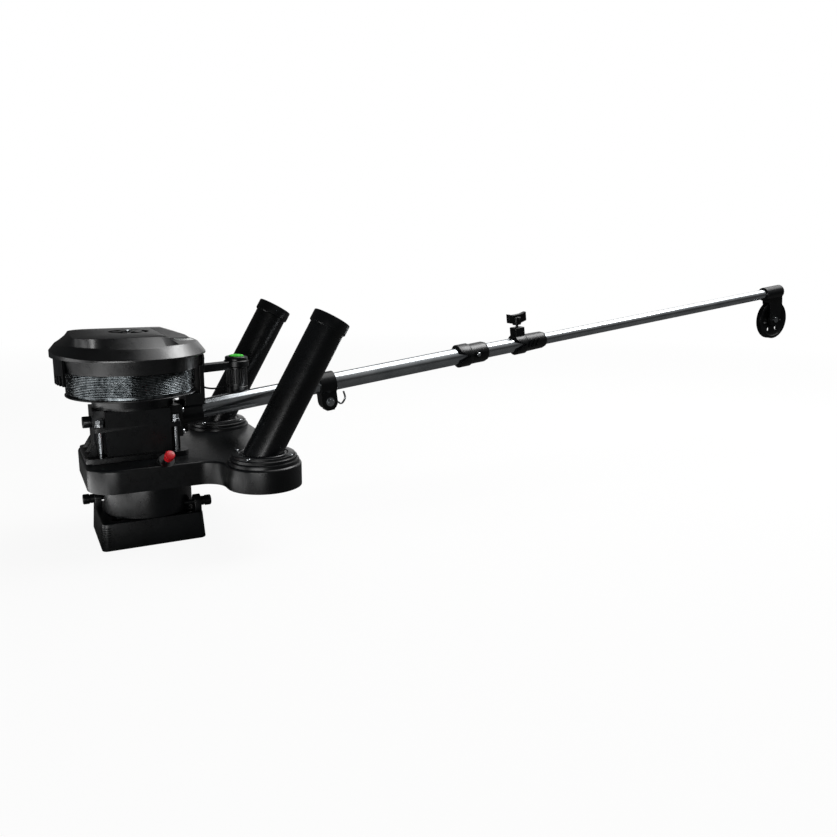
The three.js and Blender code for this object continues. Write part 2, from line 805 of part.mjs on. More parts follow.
function driveGear() {
  const blank = gear(drivenTeeth, gearBottom, gearBottom + gearThickness, 0);
  return cut(blank, cylinder(shaftRadius + fit, gearBottom - overrun, gearBottom + gearThickness + overrun, smallSides))
    .translate(spoolAxisX, 0, 0);
}

function motorPinion() {
  const phase = drivenTeeth % 2 ? 0 : 1 / 2;
  const pinion = gear(pinionTeeth, gearBottom, gearBottom + gearThickness, phase);
  const shaft = cylinder(motorShaftRadius, motorTop - motorBoreDepth + fit, gearBottom + gearThickness - fit, smallSides);
  return join(pinion, shaft).translate(motorAxisX, 0, 0);
}

// Spool, the line on it and its shaft

const spoolLift = 2; // running gap over the gear case
const spoolFlange = 2.6;
const lineDepth = 42; // room for line between the core and the flange's edge
const spoolCoreRadius = spoolFlangeRadius - lineDepth;
const spoolBottom = caseTop + spoolLift;
const spoolTop = spoolBottom + spoolWidth;
const lineDiameter = 1.8;
const lineGapToFlange = fit;
const lineBend = 1.2;
const lineLoops = 15;
const lineStepsPerLoop = 24;
const lineSides = 5;
const bendSteps = 3;
const lineInset = 5.5; // from the flange's edge to the middle of the outer layer
const lineRadius = spoolFlangeRadius - lineInset;
const shaftBottom = frameTop - frameDeck;

function spool() {
  const web = spoolFlange * 2;
  return revolve([
    [shaftRadius + fit, spoolBottom],
    [spoolFlangeRadius, spoolBottom],
    [spoolFlangeRadius, spoolBottom + spoolFlange],
    [spoolCoreRadius, spoolBottom + spoolFlange],
    [spoolCoreRadius, spoolTop - spoolFlange],
    [spoolFlangeRadius, spoolTop - spoolFlange],
    [spoolFlangeRadius, spoolTop],
    [spoolCoreRadius - web, spoolTop],
    [spoolCoreRadius - web, spoolTop - brakeRecess],
    [shaftRadius + fit, spoolTop - brakeRecess],
  ], fineSides).translate(spoolAxisX, 0, 0);
}

const lineBottom = spoolBottom + spoolFlange + lineGapToFlange;
const lineTop = spoolTop - spoolFlange - lineGapToFlange;

function lineCore() {
  const flat = Math.cos(Math.PI / lineStepsPerLoop);
  const outer = lineRadius * flat - lineDiameter / 2 - fit;
  return ring(outer, overFlats(spoolCoreRadius + fit, lineStepsPerLoop), lineBottom, lineTop, lineStepsPerLoop)
    .translate(spoolAxisX, 0, 0);
}

// The outer layer: one tube that rises a pitch each turn, its ends bent square to the flanges
function linePoints() {
  const from = lineBottom + lineDiameter + lineBend;
  const to = lineTop - lineDiameter - lineBend;
  const step = 2 * Math.PI / lineStepsPerLoop;
  const at = (angle, z) => new THREE.Vector3(
    spoolAxisX + lineRadius * Math.cos(angle),
    lineRadius * Math.sin(angle),
    z,
  );
  const steps = lineLoops * lineStepsPerLoop;
  const points = [];
  for (let i = 0; i <= steps; i++) points.push(at(i * step, from + (to - from) * i / steps));
  const bendAngle = lineBend / lineRadius;
  for (let i = 1; i <= bendSteps; i++) {
    const turn = i * Math.PI / 2 / bendSteps;
    const [along, up] = [bendAngle * Math.sin(turn), lineBend * (1 - Math.cos(turn))];
    points.unshift(at(-along, from - up));
    points.push(at(steps * step + along, to + up));
  }
  points.unshift(at(-bendAngle, lineBottom));
  points.push(at(steps * step + bendAngle, lineTop));
  return points;
}

function leastLineGap(points) {
  const near = lineStepsPerLoop / 2;
  let least = Infinity;
  const segment = new THREE.Line3();
  const closest = new THREE.Vector3();
  points.forEach((point, i) => {
    for (let j = i + near; j < Math.min(points.length - 1, i + 3 * near); j++) {
      segment.set(points[j], points[j + 1]).closestPointToPoint(point, true, closest);
      least = Math.min(least, closest.distanceTo(point));
    }
  });
  return least - lineDiameter;
}

const woundLine = linePoints();
console.log(`least gap between turns of line: ${leastLineGap(woundLine).toFixed(3)} mm`);

const brakeRecess = 12;
const brakeInset = 18;
const brakeDiscRadius = spoolCoreRadius - brakeInset;
const brakeDiscThickness = 4;
const clutchHubRadius = 11;
const knobHeight = 8;
const knobArmCount = 5;
const knobArmReach = 27;
const knobArmRadius = 6;
const coverCentreZ = 336;
const studRadius = 3.5;
const studHeight = 3;

const brakeBottom = spoolTop - brakeRecess + fit;
const knobBottom = coverCentreZ - knobHeight;

function brakeDisc() {
  return ring(brakeDiscRadius, shaftRadius + fit, brakeBottom, brakeBottom + brakeDiscThickness)
    .translate(spoolAxisX, 0, 0);
}

function spoolShaft() {
  return join(
    cylinder(shaftRadius, shaftBottom, knobBottom + knobHeight + fit, smallSides),
    cylinder(studRadius, knobBottom + knobHeight, knobBottom + knobHeight + studHeight, smallSides),
  ).translate(spoolAxisX, 0, 0);
}

// Star-shaped clutch knob on a long hub that bears on the brake disc
function clutchKnob() {
  const hub = cylinder(clutchHubRadius, brakeBottom + brakeDiscThickness + fit, knobBottom + knobHeight, smallSides);
  const arms = Array.from({ length: knobArmCount }, (_, i) => {
    const reach = knobArmReach - knobArmRadius;
    const bar = block([0, reach], [-knobArmRadius, knobArmRadius], [knobBottom, knobBottom + knobHeight]);
    const tip = cylinder(knobArmRadius, knobBottom, knobBottom + knobHeight, smallSides).translate(reach, 0, 0);
    return join(bar, tip).rotateZ(2 * Math.PI * (i + 1 / 2) / knobArmCount);
  });
  const pressure = cylinder(
    brakeDiscRadius / 2,
    brakeBottom + brakeDiscThickness + fit,
    brakeBottom + brakeDiscThickness * 2,
  );
  const boreRadius = overFlats(shaftRadius + fit, smallSides);
  const bore = cylinder(boreRadius, brakeBottom, knobBottom + knobHeight + overrun, smallSides);
  return cut(join(hub, pressure, ...arms), bore).translate(spoolAxisX, 0, 0);
}

// Top cover: skirt, upright rim, faceted bevel and a shallow crown

const skirtBottomZ = 279;
const skirtRoom = 8; // round the spool's flanges
const skirtTaper = 3;
const rimOverhang = 10;
const rimBottomZ = 301;
const rimTopZ = 309;
const bandRun = 10;
const bandZ = 320;
const plateauRun = 4; // at the plateau's corners
const plateauZ = 333.5;
const crownRadius = 60;
const crownZ = 334.5;
const crownRingRadius = 36;
const knobWellRadius = 31;
const stepZ = 320.6; // the flat round the counter window
const stepLead = 29; // from the top of the step to the middle of the window
const stepRun = 9;
const stepSkew = 12 * degree; // the step runs slantwise across the cover
const coverWall = 2.6;
const facetShare = 0.75; // how far the plateau's outline is drawn from a circle to a square
const bandFacetShare = 0.15;
const facetCount = 4;
const windowInset = 18; // from the circle through the plateau's corners
const windowHalfX = 13;
const windowHalfY = 19;
const windowFrame = 3;

const skirtTopRadius = spoolFlangeRadius + skirtRoom;
const skirtBottomRadius = skirtTopRadius - skirtTaper;
const rimRadius = skirtTopRadius + rimOverhang;
const bandRadius = rimRadius - bandRun;
const plateauRadius = bandRadius - plateauRun;
const windowX = spoolAxisX + plateauRadius - windowInset;
const stepX = windowX - stepLead;

function facetedOutline(radius, share) {
  const steps = fineSides / facetCount;
  return Array.from({ length: fineSides }, (_, i) => {
    const within = (((i + steps / 2) % steps) / steps - 1 / 2) * 2 * Math.PI / facetCount;
    const flat = Math.cos(Math.PI / facetCount) / Math.cos(within);
    const length = radius * (1 - share + share * flat);
    const angle = 2 * Math.PI * i / fineSides;
    return new THREE.Vector2(spoolAxisX + length * Math.cos(angle), length * Math.sin(angle));
  });
}

const level = (z, radius, share = 0) => ({ z, outline: facetedOutline(radius, share) });

function coverBody() {
  return loft([
    level(skirtBottomZ, skirtBottomRadius),
    level(rimBottomZ, skirtTopRadius),
    level(rimBottomZ + fit, rimRadius),
    level(rimTopZ, rimRadius),
    level(bandZ, bandRadius, bandFacetShare),
    level(plateauZ, plateauRadius, facetShare),
    level(crownZ, crownRadius),
    level(coverCentreZ, crownRingRadius),
  ]);
}

function coverHollow() {
  return loft([
    level(skirtBottomZ - overrun, skirtBottomRadius - coverWall),
    level(rimBottomZ + coverWall, skirtTopRadius - coverWall),
    level(bandZ - coverWall, bandRadius - coverWall * 2, bandFacetShare),
    level(plateauZ - coverWall, plateauRadius - coverWall, facetShare),
    level(coverCentreZ - coverWall, crownRingRadius),
  ]);
}

// The slanted step down to the window, as a tool lowered by a wall where it shapes the inside
function windowStep(drop) {
  const outline = [
    new THREE.Vector2(stepX - overrun, coverCentreZ + overrun - drop),
    new THREE.Vector2(stepX, plateauZ + overrun - drop),
    new THREE.Vector2(stepX + stepRun, stepZ - drop),
    new THREE.Vector2(rimRadius + overrun, stepZ - drop),
    new THREE.Vector2(rimRadius + overrun, coverCentreZ + overrun - drop),
  ];
  return prism(outline, -2 * rimRadius, 2 * rimRadius).rotateX(Math.PI / 2).rotateZ(-stepSkew);
}

function topCover() {
  const shell = cut(cut(coverBody(), windowStep(0)), cut(coverHollow(), windowStep(coverWall)));
  const well = ring(crownRingRadius, knobWellRadius, knobBottom - coverWall, coverCentreZ).translate(spoolAxisX, 0, 0);
  const knobHole = cylinder(knobWellRadius, skirtBottomZ, coverCentreZ + overrun).translate(spoolAxisX, 0, 0);
  const bezel = block(
    [windowX - windowHalfX - windowFrame, windowX + windowHalfX + windowFrame],
    [-windowHalfY - windowFrame, windowHalfY + windowFrame],
    [stepZ - windowFrame * 2, stepZ - coverWall / 2],
  );
  const opening = block(
    [windowX - windowHalfX, windowX + windowHalfX],
    [-windowHalfY, windowHalfY],
    [rimBottomZ, coverCentreZ],
  );
  const seat = block(
    [windowX - windowHalfX - windowFrame / 2, windowX + windowHalfX + windowFrame / 2],
    [-windowHalfY - windowFrame / 2, windowHalfY + windowFrame / 2],
    [stepZ - windowFrame, stepZ + overrun],
  );
  return cut(join(cut(shell, knobHole), well, bezel), opening, seat);
}

function counterWindow() {
  const [halfX, halfY] = [windowHalfX + windowFrame / 2 - fit, windowHalfY + windowFrame / 2 - fit];
  return block([windowX - halfX, windowX + halfX], [-halfY, halfY], [stepZ - windowFrame + fit, stepZ - fit]);
}

// Number wheels on one axle, turned by the spool

const wheelRadius = 11;
const wheelWidth = 9;
const wheelGap = 1;
const wheelZ = 303.5;
const axleRadius = 2;
const cradleWall = 2.5;
const cradleFloorZ = 292;
const wheelHalf = (3 * wheelWidth + 2 * wheelGap) / 2;

function numberWheel(place) {
  const from = -wheelHalf + place * (wheelWidth + wheelGap);
  const wheel = ring(wheelRadius, axleRadius + running, from, from + wheelWidth, smallSides);
  return alongY(wheel).translate(windowX, 0, wheelZ);
}

function counterCradle() {
  const inner = wheelHalf + wheelGap;
  const halfX = wheelRadius;
  const top = stepZ - windowFrame * 2 - fit;
  const outer = windowHalfY + windowFrame / 2; // the cheeks reach up to the underside of the window's frame
  const cheeks = [-1, 1].map((side) => {
    const [near, far] = [side * inner, side * outer].sort((a, b) => a - b);
    return block([windowX - halfX, windowX + halfX], [near, far], [cradleFloorZ - cradleWall, top]);
  });
  const floor = block(
    [windowX - halfX, windowX + halfX],
    [-outer, outer],
    [cradleFloorZ - cradleWall, cradleFloorZ],
  );
  const axle = alongY(cylinder(axleRadius, -inner - cradleWall / 2, inner + cradleWall / 2, tinySides))
    .translate(windowX, 0, wheelZ);
  return join(floor, ...cheeks, axle);
}

// Spool guard: a comb of fingers below the rear edge of the cover

const guardThickness = 4;
const guardBandBottom = 276;
const guardBottom = 260;
const guardHalfAngle = 24 * degree;
const guardFingers = 9;
const fingerShare = 0.4; // width of a finger in its own pitch

const guardInner = skirtTopRadius + fit * 2;
const guardOuter = guardInner + guardThickness;

function spoolGuard() {
  const from = Math.PI - guardHalfAngle;
  const band = ringSector(guardInner, guardOuter, from, from + 2 * guardHalfAngle, guardBandBottom, rimBottomZ - fit, 6);
  const pitch = 2 * guardHalfAngle / (guardFingers - 1 + fingerShare);
  const fingers = Array.from({ length: guardFingers }, (_, i) => {
    const start = from + i * pitch;
    return ringSector(guardInner, guardOuter, start, start + pitch * fingerShare, guardBottom, guardBandBottom + overrun, 1);
  });
  return join(band, ...fingers).translate(spoolAxisX, 0, 0);
}

// Boom socket on the frame's right wall, and the post over it that carries the cover

const socketRadius = 22;
const socketFace = spoolAxisX + frameHalfX + fit;
const socketFlangeThickness = 6;
const socketFlangeHalfY = 30;
const socketFlangeBottom = 165;
const socketFlangeTop = frameTop - fit;
const socketEndX = 92;

function boomSocket() {
  const flange = block(
    [socketFace, socketFace + socketFlangeThickness],
    [-socketFlangeHalfY, socketFlangeHalfY],
    [socketFlangeBottom, socketFlangeTop],
  );
  const sleeve = common(
    onBoom(alongX(cylinder(socketRadius, alongBoom(spoolAxisX), alongBoom(socketEndX)))),
    block([socketFace, socketEndX + socketRadius], [-socketRadius, socketRadius], [0, boomZ + socketRadius]),
  );
  const rib = block(
    [socketFace, socketEndX - socketRadius],
    [-ribThickness / 2, ribThickness / 2],
    [socketFlangeBottom, boomZ - socketRadius],
  );
  const bore = onBoom(alongX(cylinder(baseTubeRadius + fit, alongBoom(spoolAxisX) - overrun, 0)));
  return cut(join(flange, sleeve, rib), bore);
}

const postThickness = 7.5;
const postHalfY = 26;
const postFootX = 62;
const postFootTop = 233;
const postFootBottom = 214;
const tabThickness = 3;
const tabBottom = 270;
const tabTop = 297;

const tabInner = spoolAxisX + skirtTopRadius + fit * 2;
const postOuter = tabInner + tabThickness / 2;
const postInner = postOuter - postThickness;

function coverPost() {
  const upright = block([postInner, postOuter], [-postHalfY, postHalfY], [postFootBottom, skirtBottomZ - fit]);
  const foot = block([postFootX, postOuter], [-postHalfY, postHalfY], [postFootBottom, postFootTop]);
  const tab = block([tabInner, tabInner + tabThickness], [-postHalfY, postHalfY], [tabBottom, tabTop]);
  const saddle = onBoom(alongX(cylinder(socketRadius + fit, alongBoom(spoolAxisX), alongBoom(postOuter) + socketRadius)));
  return cut(join(upright, foot, tab), saddle);
}

// Power inlet on the frame's left wall

const inletZ = 195;
const inletRadius = 9.3;
const inletLength = 12.7;
const inletBore = 6.5;

function powerInlet() {
  const shell = revolve([
    [0, 0],
    [inletRadius, 0],
    [inletRadius, inletLength - overrun],
    [inletRadius - overrun / 2, inletLength],
    [0, inletLength],
  ], smallSides);
  const bore = cylinder(inletBore, inletLength / 4, inletLength + overrun, smallSides);
  return alongX(cut(shell, bore)).rotateZ(Math.PI)
    .translate(spoolAxisX - frameHalfX - fit, 0, inletZ);
}

// Switch pod beside the boom, on an arm from the cover's post

const podX = 167;
const podY = 42;
const podRadius = 18;
const podCollarRadius = 21.5;
const podBezelRadius = 19.5;
const podBottom = 212;
const podCollarBottom = 264;
const podCollarTop = 276;
const podBezelTop = 283;
const podWellRadius = 16;
const podWellDepth = 8;
const buttonRadius = 13;
const buttonFlangeRadius = 15.2;
const buttonFlangeThickness = 2.5;
const buttonTop = 286;
const armHalfY = 9;
const armY = 17;
const armBottom = 261;
const armTop = 275;
const armPlateThickness = 4;

const armFace = tabInner + tabThickness + fit;

function switchPod() {
  const body = revolve([
    [0, podBottom],
    [podRadius - overrun, podBottom],
    [podRadius, podBottom + overrun],
    [podRadius, podCollarBottom],
    [podCollarRadius, podCollarBottom + overrun],
    [podCollarRadius, podCollarTop - overrun / 2],
    [podCollarRadius - overrun / 2, podCollarTop],
    [0, podCollarTop],
  ]).translate(podX, podY, 0);
  const arm = prism([
    new THREE.Vector2(armFace, armY - armHalfY),
    new THREE.Vector2(podX, podY - armHalfY),
    new THREE.Vector2(podX, podY + armHalfY),
    new THREE.Vector2(armFace, armY + armHalfY),
  ], armBottom, armTop);
  const plate = block(
    [armFace, armFace + armPlateThickness],
    [armY - armHalfY, armY + armHalfY],
    [armBottom - armHalfY, armTop],
  );
  const well = cylinder(podWellRadius, podCollarTop - podWellDepth, podCollarTop + overrun).translate(podX, podY, 0);
  return cut(join(body, arm, plate), well);
}

function podBezel() {
  const bottom = podCollarTop + fit;
  return cut(
    revolve([
      [0, bottom],
      [podBezelRadius, bottom],
      [podBezelRadius, podBezelTop - overrun],
      [podBezelRadius - overrun, podBezelTop],
      [0, podBezelTop],
    ], 2 * tinySides),
    cylinder(buttonRadius + running, bottom - overrun, podBezelTop + overrun),
  ).translate(podX, podY, 0);
}

function pushButton() {
  const flangeTop = podCollarTop - fit;
  return revolve([
    [0, flangeTop - buttonFlangeThickness],
    [buttonFlangeRadius, flangeTop - buttonFlangeThickness],
    [buttonFlangeRadius, flangeTop],
    [buttonRadius, flangeTop],
    [buttonRadius, podBezelTop],
    [buttonRadius * 3 / 4, podBezelTop + overrun],
    [buttonRadius / 3, buttonTop],
    [0, buttonTop],
  ]).translate(podX, podY, 0);
}

const leadRadius = 1.6;
const leadSides = 6;
const leadPoints = [
  [95.6, 34, 238], [99, 34, 238], [106, 34.5, 233], [116, 36.5, 229.5], [127, 39, 228],
  [137, 41, 229], [144, 42, 230], [148.4, 42, 230],
];

function switchLead() {
  const course = new THREE.CatmullRomCurve3(leadPoints.map((point) => new THREE.Vector3(...point)));
  return sweptTube(course.getSpacedPoints(14), leadRadius, leadSides);
}

// Rod holders: a slanted tube on a turning foot, each under its own ring

const holderFootRadius = 43;
const holderNeckRadius = 37;
const holderFootThickness = 4;
const holderRingRadius = 52;
const holderRingHeight = 8.6;
const holderWall = 3.3;
const holderCollarRadius = 31;
const holderCollarLength = 19;
const holderFloor = 6;

const footBottom = lobeTop + fit;
const ringTop = footBottom + holderRingHeight;

function rodHolder(side) {
  const tilted = (geometry) => geometry.rotateY(holderTilt).translate(0, 0, ringTop);
  const tubeStart = -holderTubeRadius;
  const tube = tilted(revolve([
    [0, tubeStart],
    [holderTubeRadius, tubeStart],
    [holderTubeRadius, holderTubeLength - holderCollarLength],
    [holderCollarRadius, holderTubeLength - holderCollarLength],
    [holderCollarRadius, holderTubeLength],
    [0, holderTubeLength],
  ]));
  const above = block(
    [-holderRingRadius, holderTubeLength],
    [-holderRingRadius, holderRingRadius],
    [footBottom + holderFootThickness / 2, ringTop + holderTubeLength * 2],
  );
  const foot = revolve([
    [0, footBottom],
    [holderFootRadius, footBottom],
    [holderFootRadius, footBottom + holderFootThickness],
    [holderNeckRadius, footBottom + holderFootThickness],
    [holderNeckRadius, ringTop],
    [0, ringTop],
  ], roundSides);
  const bore = tilted(cylinder(holderTubeRadius - holderWall, holderFloor, holderTubeLength + overrun));
  return cut(join(foot, common(tube, above)), bore).translate(holderX, side * holderY, 0);
}

function holderRing(side) {
  const lip = footBottom + holderFootThickness + fit;
  const footBore = overFlats(holderFootRadius + fit, roundSides);
  const neckBore = overFlats(holderNeckRadius + fit, roundSides);
  return revolve([
    [footBore, footBottom],
    [holderRingRadius, footBottom],
    [holderRingRadius, ringTop - overrun / 2],
    [holderRingRadius - overrun / 2, ringTop],
    [neckBore, ringTop],
    [neckBore, lip],
    [footBore, lip],
  ], roundSides).translate(holderX, side * holderY, 0);
}

// Boom: pieces drawn along +X of its own frame, with z across it

const baseTubeStart = -175;
const baseCollarFrom = 439.4;
const baseCollarLength = 65.6;
const baseCollarRadius = 22.5;
const baseCollarNose = 17.5;
const collarFlangeLength = 24;
const collarSeat = 15; // length of the nose beyond the end of the tube inside
const notchDepth = 20;
const notchHalfHeight = 13;
const baseTubeWall = 1.2;
const midTubeWall = 1.6;
const tipTubeWall = 1.5;
const midTubeStart = -10;
const tipCollarFrom = 572.6;
const tipCollarLength = 75.4;
const tipCollarRadius = 20.5;
const tipCollarNose = 14.5;
const tipTubeStart = 540;
const tipTubeEnd = 1352;

const baseTubeEnd = baseCollarFrom + baseCollarLength - collarSeat;
const midTubeEnd = tipCollarFrom + tipCollarLength - collarSeat;

function tube(radius, wall, from, to) {
  return alongX(ring(radius, radius - wall, from, to));
}

// A clamp collar: flange with a notched mouth, tapered nose, and two bores that meet at a step
function clampCollar(from, length, radius, nose, tubeRadius, innerTubeRadius) {
  const step = from + length - collarSeat + fit;
  const body = alongX(revolve([
    [0, from],
    [radius, from],
    [radius, from + collarFlangeLength],
    [radius - collarSeat / 6, from + collarFlangeLength + collarSeat / 4],
    [nose + collarSeat / 6, from + length - collarSeat / 2],
    [nose, from + length],
    [0, from + length],
  ]));
  const notch = new THREE.Shape([
    new THREE.Vector2(from - overrun, -notchHalfHeight),
    new THREE.Vector2(from + notchDepth, 0),
    new THREE.Vector2(from - overrun, notchHalfHeight),
  ]);
  const notchTool = new THREE.ExtrudeGeometry(notch, { depth: 4 * radius, bevelEnabled: false })
    .rotateX(Math.PI / 2).translate(0, 2 * radius, 0);
  return cut(
    body,
    notchTool,
    alongX(cylinder(tubeRadius + fit, from - overrun, step)),
    alongX(cylinder(innerTubeRadius + fit, step - overrun, from + length + overrun)),
  );
}

const lockButtonInset = 38;
const lockButtonX = baseCollarFrom + lockButtonInset;
const lockButtonRadius = 4;
const lockButtonHeadHeight = 1.5;
const lockButtonTravel = 3;

function baseCollar() {
  const collar = clampCollar(
    baseCollarFrom, baseCollarLength, baseCollarRadius, baseCollarNose, baseTubeRadius, midTubeRadius,
  );
  return cut(collar, lockButtonHole());
}

function lockButtonHole() {
  return alongY(cylinder(lockButtonRadius + running, -baseCollarRadius * 2, 0, smallSides)).translate(lockButtonX, 0, 0);
}

function lockButton() {
  const inner = baseTubeRadius - baseTubeWall + fit;
  return alongY(cylinder(lockButtonRadius, -baseCollarRadius - lockButtonHeadHeight, -inner - lockButtonTravel, smallSides))
    .translate(lockButtonX, 0, 0);
}

function baseTube() {
  return cut(tube(baseTubeRadius, baseTubeWall, baseTubeStart, baseTubeEnd), lockButtonHole());
}

const bossHalf = 11;
const bossTop = 35;
const knobScrewRadius = 3;
const knobX = tipCollarFrom + bossHalf + 2;
const wingBottom = 46;
const wingHeight = 18;
const wingHalfLength = 21;
const wingHalfThickness = 5;
const wingHubRadius = 9;
const wingWaist = 6;

function tipCollar() {
  const collar = clampCollar(
    tipCollarFrom, tipCollarLength, tipCollarRadius, tipCollarNose, midTubeRadius, tipTubeRadius,
  );
  const boss = block([knobX - bossHalf, knobX + bossHalf], [-bossHalf, bossHalf], [midTubeRadius + 1 / 2 * fit, bossTop]);
  const mouth = alongX(cylinder(midTubeRadius + fit, tipCollarFrom - overrun, tipCollarFrom + tipCollarLength - collarSeat));
  const screwHole = cylinder(knobScrewRadius + running, 0, bossTop + overrun, smallSides).translate(knobX, 0, 0);
  return cut(join(collar, boss), mouth, screwHole);
}

function tKnob() {
  const screw = cylinder(knobScrewRadius, midTubeRadius + fit, wingBottom + wingHeight / 2, tinySides);
  const hub = cylinder(wingHubRadius, wingBottom - wingWaist, wingBottom + wingHeight / 2, smallSides);
  const wing = prism([
    new THREE.Vector2(-wingHalfLength, wingBottom),
    new THREE.Vector2(-wingHubRadius, wingBottom - wingWaist / 2),
    new THREE.Vector2(wingHubRadius, wingBottom - wingWaist / 2),
    new THREE.Vector2(wingHalfLength, wingBottom),
    new THREE.Vector2(wingHalfLength, wingBottom + wingHeight),
    new THREE.Vector2(wingHubRadius, wingBottom + wingHeight - wingWaist / 2),
    new THREE.Vector2(-wingHubRadius, wingBottom + wingHeight - wingWaist / 2),
    new THREE.Vector2(-wingHalfLength, wingBottom + wingHeight),
  ], -wingHalfThickness, wingHalfThickness).rotateX(Math.PI / 2);
  return join(screw, hub, wing).translate(knobX, 0, 0);
}

// Hook clamp under the base tube

const hookClampX = 163;
const hookClampHalf = 15;
const hookClampRadius = 20.5;
const lugHalfY = 12;
const lugDepth = 49;
const clampBoltZ = -33;
const clampBoltRadius = 3;
const clampBoltHead = 5.5;
const hookWire = 3.6;
const hookSides = 6;

function hookClamp() {
  const band = alongX(cylinder(hookClampRadius, -hookClampHalf, hookClampHalf));
  const round = hookClampHalf;
  const outline = [
    ...arc(0, -lugDepth + round, round, Math.PI, 2 * Math.PI, 8),
    new THREE.Vector2(hookClampHalf, 0),
    new THREE.Vector2(-hookClampHalf, 0),
  ];
  const lug = prism(outline, -lugHalfY, lugHalfY).rotateX(Math.PI / 2);
  const bore = alongX(cylinder(baseTubeRadius + fit, -hookClampHalf - overrun, hookClampHalf + overrun));
  const slot = block([-hookClampHalf - overrun, hookClampHalf + overrun], [-fit, fit], [-lugDepth - overrun, -baseTubeRadius]);
  const boltHole = alongY(cylinder(clampBoltRadius + fit, -lugHalfY - overrun, lugHalfY + overrun, tinySides))
    .translate(0, 0, clampBoltZ);
  const bridge = block([-hookClampHalf / 2, hookClampHalf / 2], [-lugHalfY, lugHalfY], [-lugDepth + fit, -lugDepth + round / 2]);
  return cut(join(cut(join(band, lug), slot), bridge), bore, boltHole).translate(hookClampX, 0, 0);
}

function clampBolt() {
  const face = lugHalfY + fit;
  return alongY(join(
    cylinder(clampBoltRadius, -face - fit, face + fit, tinySides),
    cylinder(clampBoltHead * 3 / 2, -face - clampBoltRadius / 2, -face, smallSides),
    cylinder(clampBoltHead, -face - clampBoltRadius * 2, -face - clampBoltRadius / 2 + fit, hexSides),
    cylinder(clampBoltHead, face, face + clampBoltRadius * 3 / 2, hexSides),
  )).translate(hookClampX, 0, clampBoltZ);
}

const hookStemShare = [0, 0.36, 0.62];
const hookReach = 19;
const hookDrop = 7;
const hookRise = 15;

function clampHook() {
  const from = hookClampHalf + fit;
  const z = clampBoltZ - hookDrop / 2;
  const along = hookStemShare.map((share) => from + share * hookReach);
  const course = new THREE.CatmullRomCurve3([
    new THREE.Vector3(along[0], 0, z),
    new THREE.Vector3(along[0] + hookWire, 0, z - hookDrop / 4),
    new THREE.Vector3(along[1] + hookWire / 2, 0, z - hookDrop),
    new THREE.Vector3(along[2] + hookWire / 2, 0, z - hookDrop * 3 / 4),
    new THREE.Vector3(from + hookReach, 0, z + hookDrop / 4),
    new THREE.Vector3(from + hookReach, 0, z + hookDrop),
    new THREE.Vector3(from + hookReach - hookWire / 2, 0, z + hookRise),
  ]);
  return sweptTube(course.getSpacedPoints(13), hookWire / 2, hookSides).translate(hookClampX, 0, 0);
}

// Tip head: a sleeve that swivels on the tube, two cheeks and the sheave between them

const sheaveX = 1338;
const sheaveDrop = 66;
const sheaveWidth = 14;
const sheaveGroove = 7;
const sheaveHubRadius = 12;
const cheekThickness = 3.5;
const cheekHalfWidth = 17;
const headRadius = 16;
const headFrom = 1308;
const headTo = 1364;
const sheaveAxleRadius = 4;
const axleHeadRadius = 7;

const cheekInner = sheaveWidth / 2 + running;
const cheekOuter = cheekInner + cheekThickness;

function tipBracket() {
  const sleeve = alongX(cylinder(headRadius, headFrom, headTo));
  const outline = [
    new THREE.Vector2(headFrom + cheekHalfWidth / 2, 0),
    new THREE.Vector2(sheaveX - cheekHalfWidth, -headRadius * 2),
    ...arc(sheaveX, -sheaveDrop, cheekHalfWidth, Math.PI, 2 * Math.PI, 8),
    new THREE.Vector2(headTo, -headRadius * 2),
    new THREE.Vector2(headTo, 0),
  ];
  const body = prism(outline, -cheekOuter, cheekOuter).rotateX(Math.PI / 2);
  const wheelRoom = alongY(cylinder(sheaveRadius + running * 4, -cheekInner, cheekInner, wheelSides))
    .translate(sheaveX, 0, -sheaveDrop);
  const slotRoom = block(
    [sheaveX - sheaveRadius, headTo + overrun],
    [-cheekInner, cheekInner],
    [-sheaveDrop - sheaveRadius, -sheaveDrop],
  );
  const bore = alongX(cylinder(tipTubeRadius + fit, headFrom - overrun, tipTubeEnd + fit));
  const axleHole = alongY(cylinder(sheaveAxleRadius + fit, -cheekOuter - overrun, cheekOuter + overrun, smallSides))
    .translate(sheaveX, 0, -sheaveDrop);
  return cut(join(sleeve, body), wheelRoom, slotRoom, bore, axleHole);
}

function sheaveAxle() {
  const face = cheekOuter + fit;
  return alongY(join(
    cylinder(sheaveAxleRadius, -face - fit, face + fit, smallSides),
    cylinder(axleHeadRadius, -face - cheekThickness, -face, smallSides),
    cylinder(axleHeadRadius, face, face + cheekThickness, hexSides),
  )).translate(sheaveX, 0, -sheaveDrop);
}

function sheave() {
  const half = sheaveWidth / 2;
  const flangeEdge = half / 4;
  const bore = sheaveAxleRadius + running;
  const dish = half / 2;
  return alongY(revolve([
    [bore, -half],
    [sheaveHubRadius, -half],
    [sheaveHubRadius + dish, -half + dish],
    [sheaveRadius - sheaveGroove, -half + dish],
    [sheaveRadius, -half],
    [sheaveRadius, -half + flangeEdge],
    [sheaveRadius - sheaveGroove, -flangeEdge],
    [sheaveRadius - sheaveGroove, flangeEdge],
    [sheaveRadius, half - flangeEdge],
    [sheaveRadius, half],
    [sheaveRadius - sheaveGroove, half - dish],
    [sheaveHubRadius + dish, half - dish],
    [sheaveHubRadius, half],
    [bore, half],
  ], wheelSides)).translate(sheaveX, 0, -sheaveDrop);
}

// Assembly

const downrigger = new THREE.Group();
const turret = new THREE.Group();
const boom = new THREE.Group();
boom.position.set(boomX, 0, boomZ);
boom.rotation.y = -boomRise;
turret.add(boom);
downrigger.add(turret);

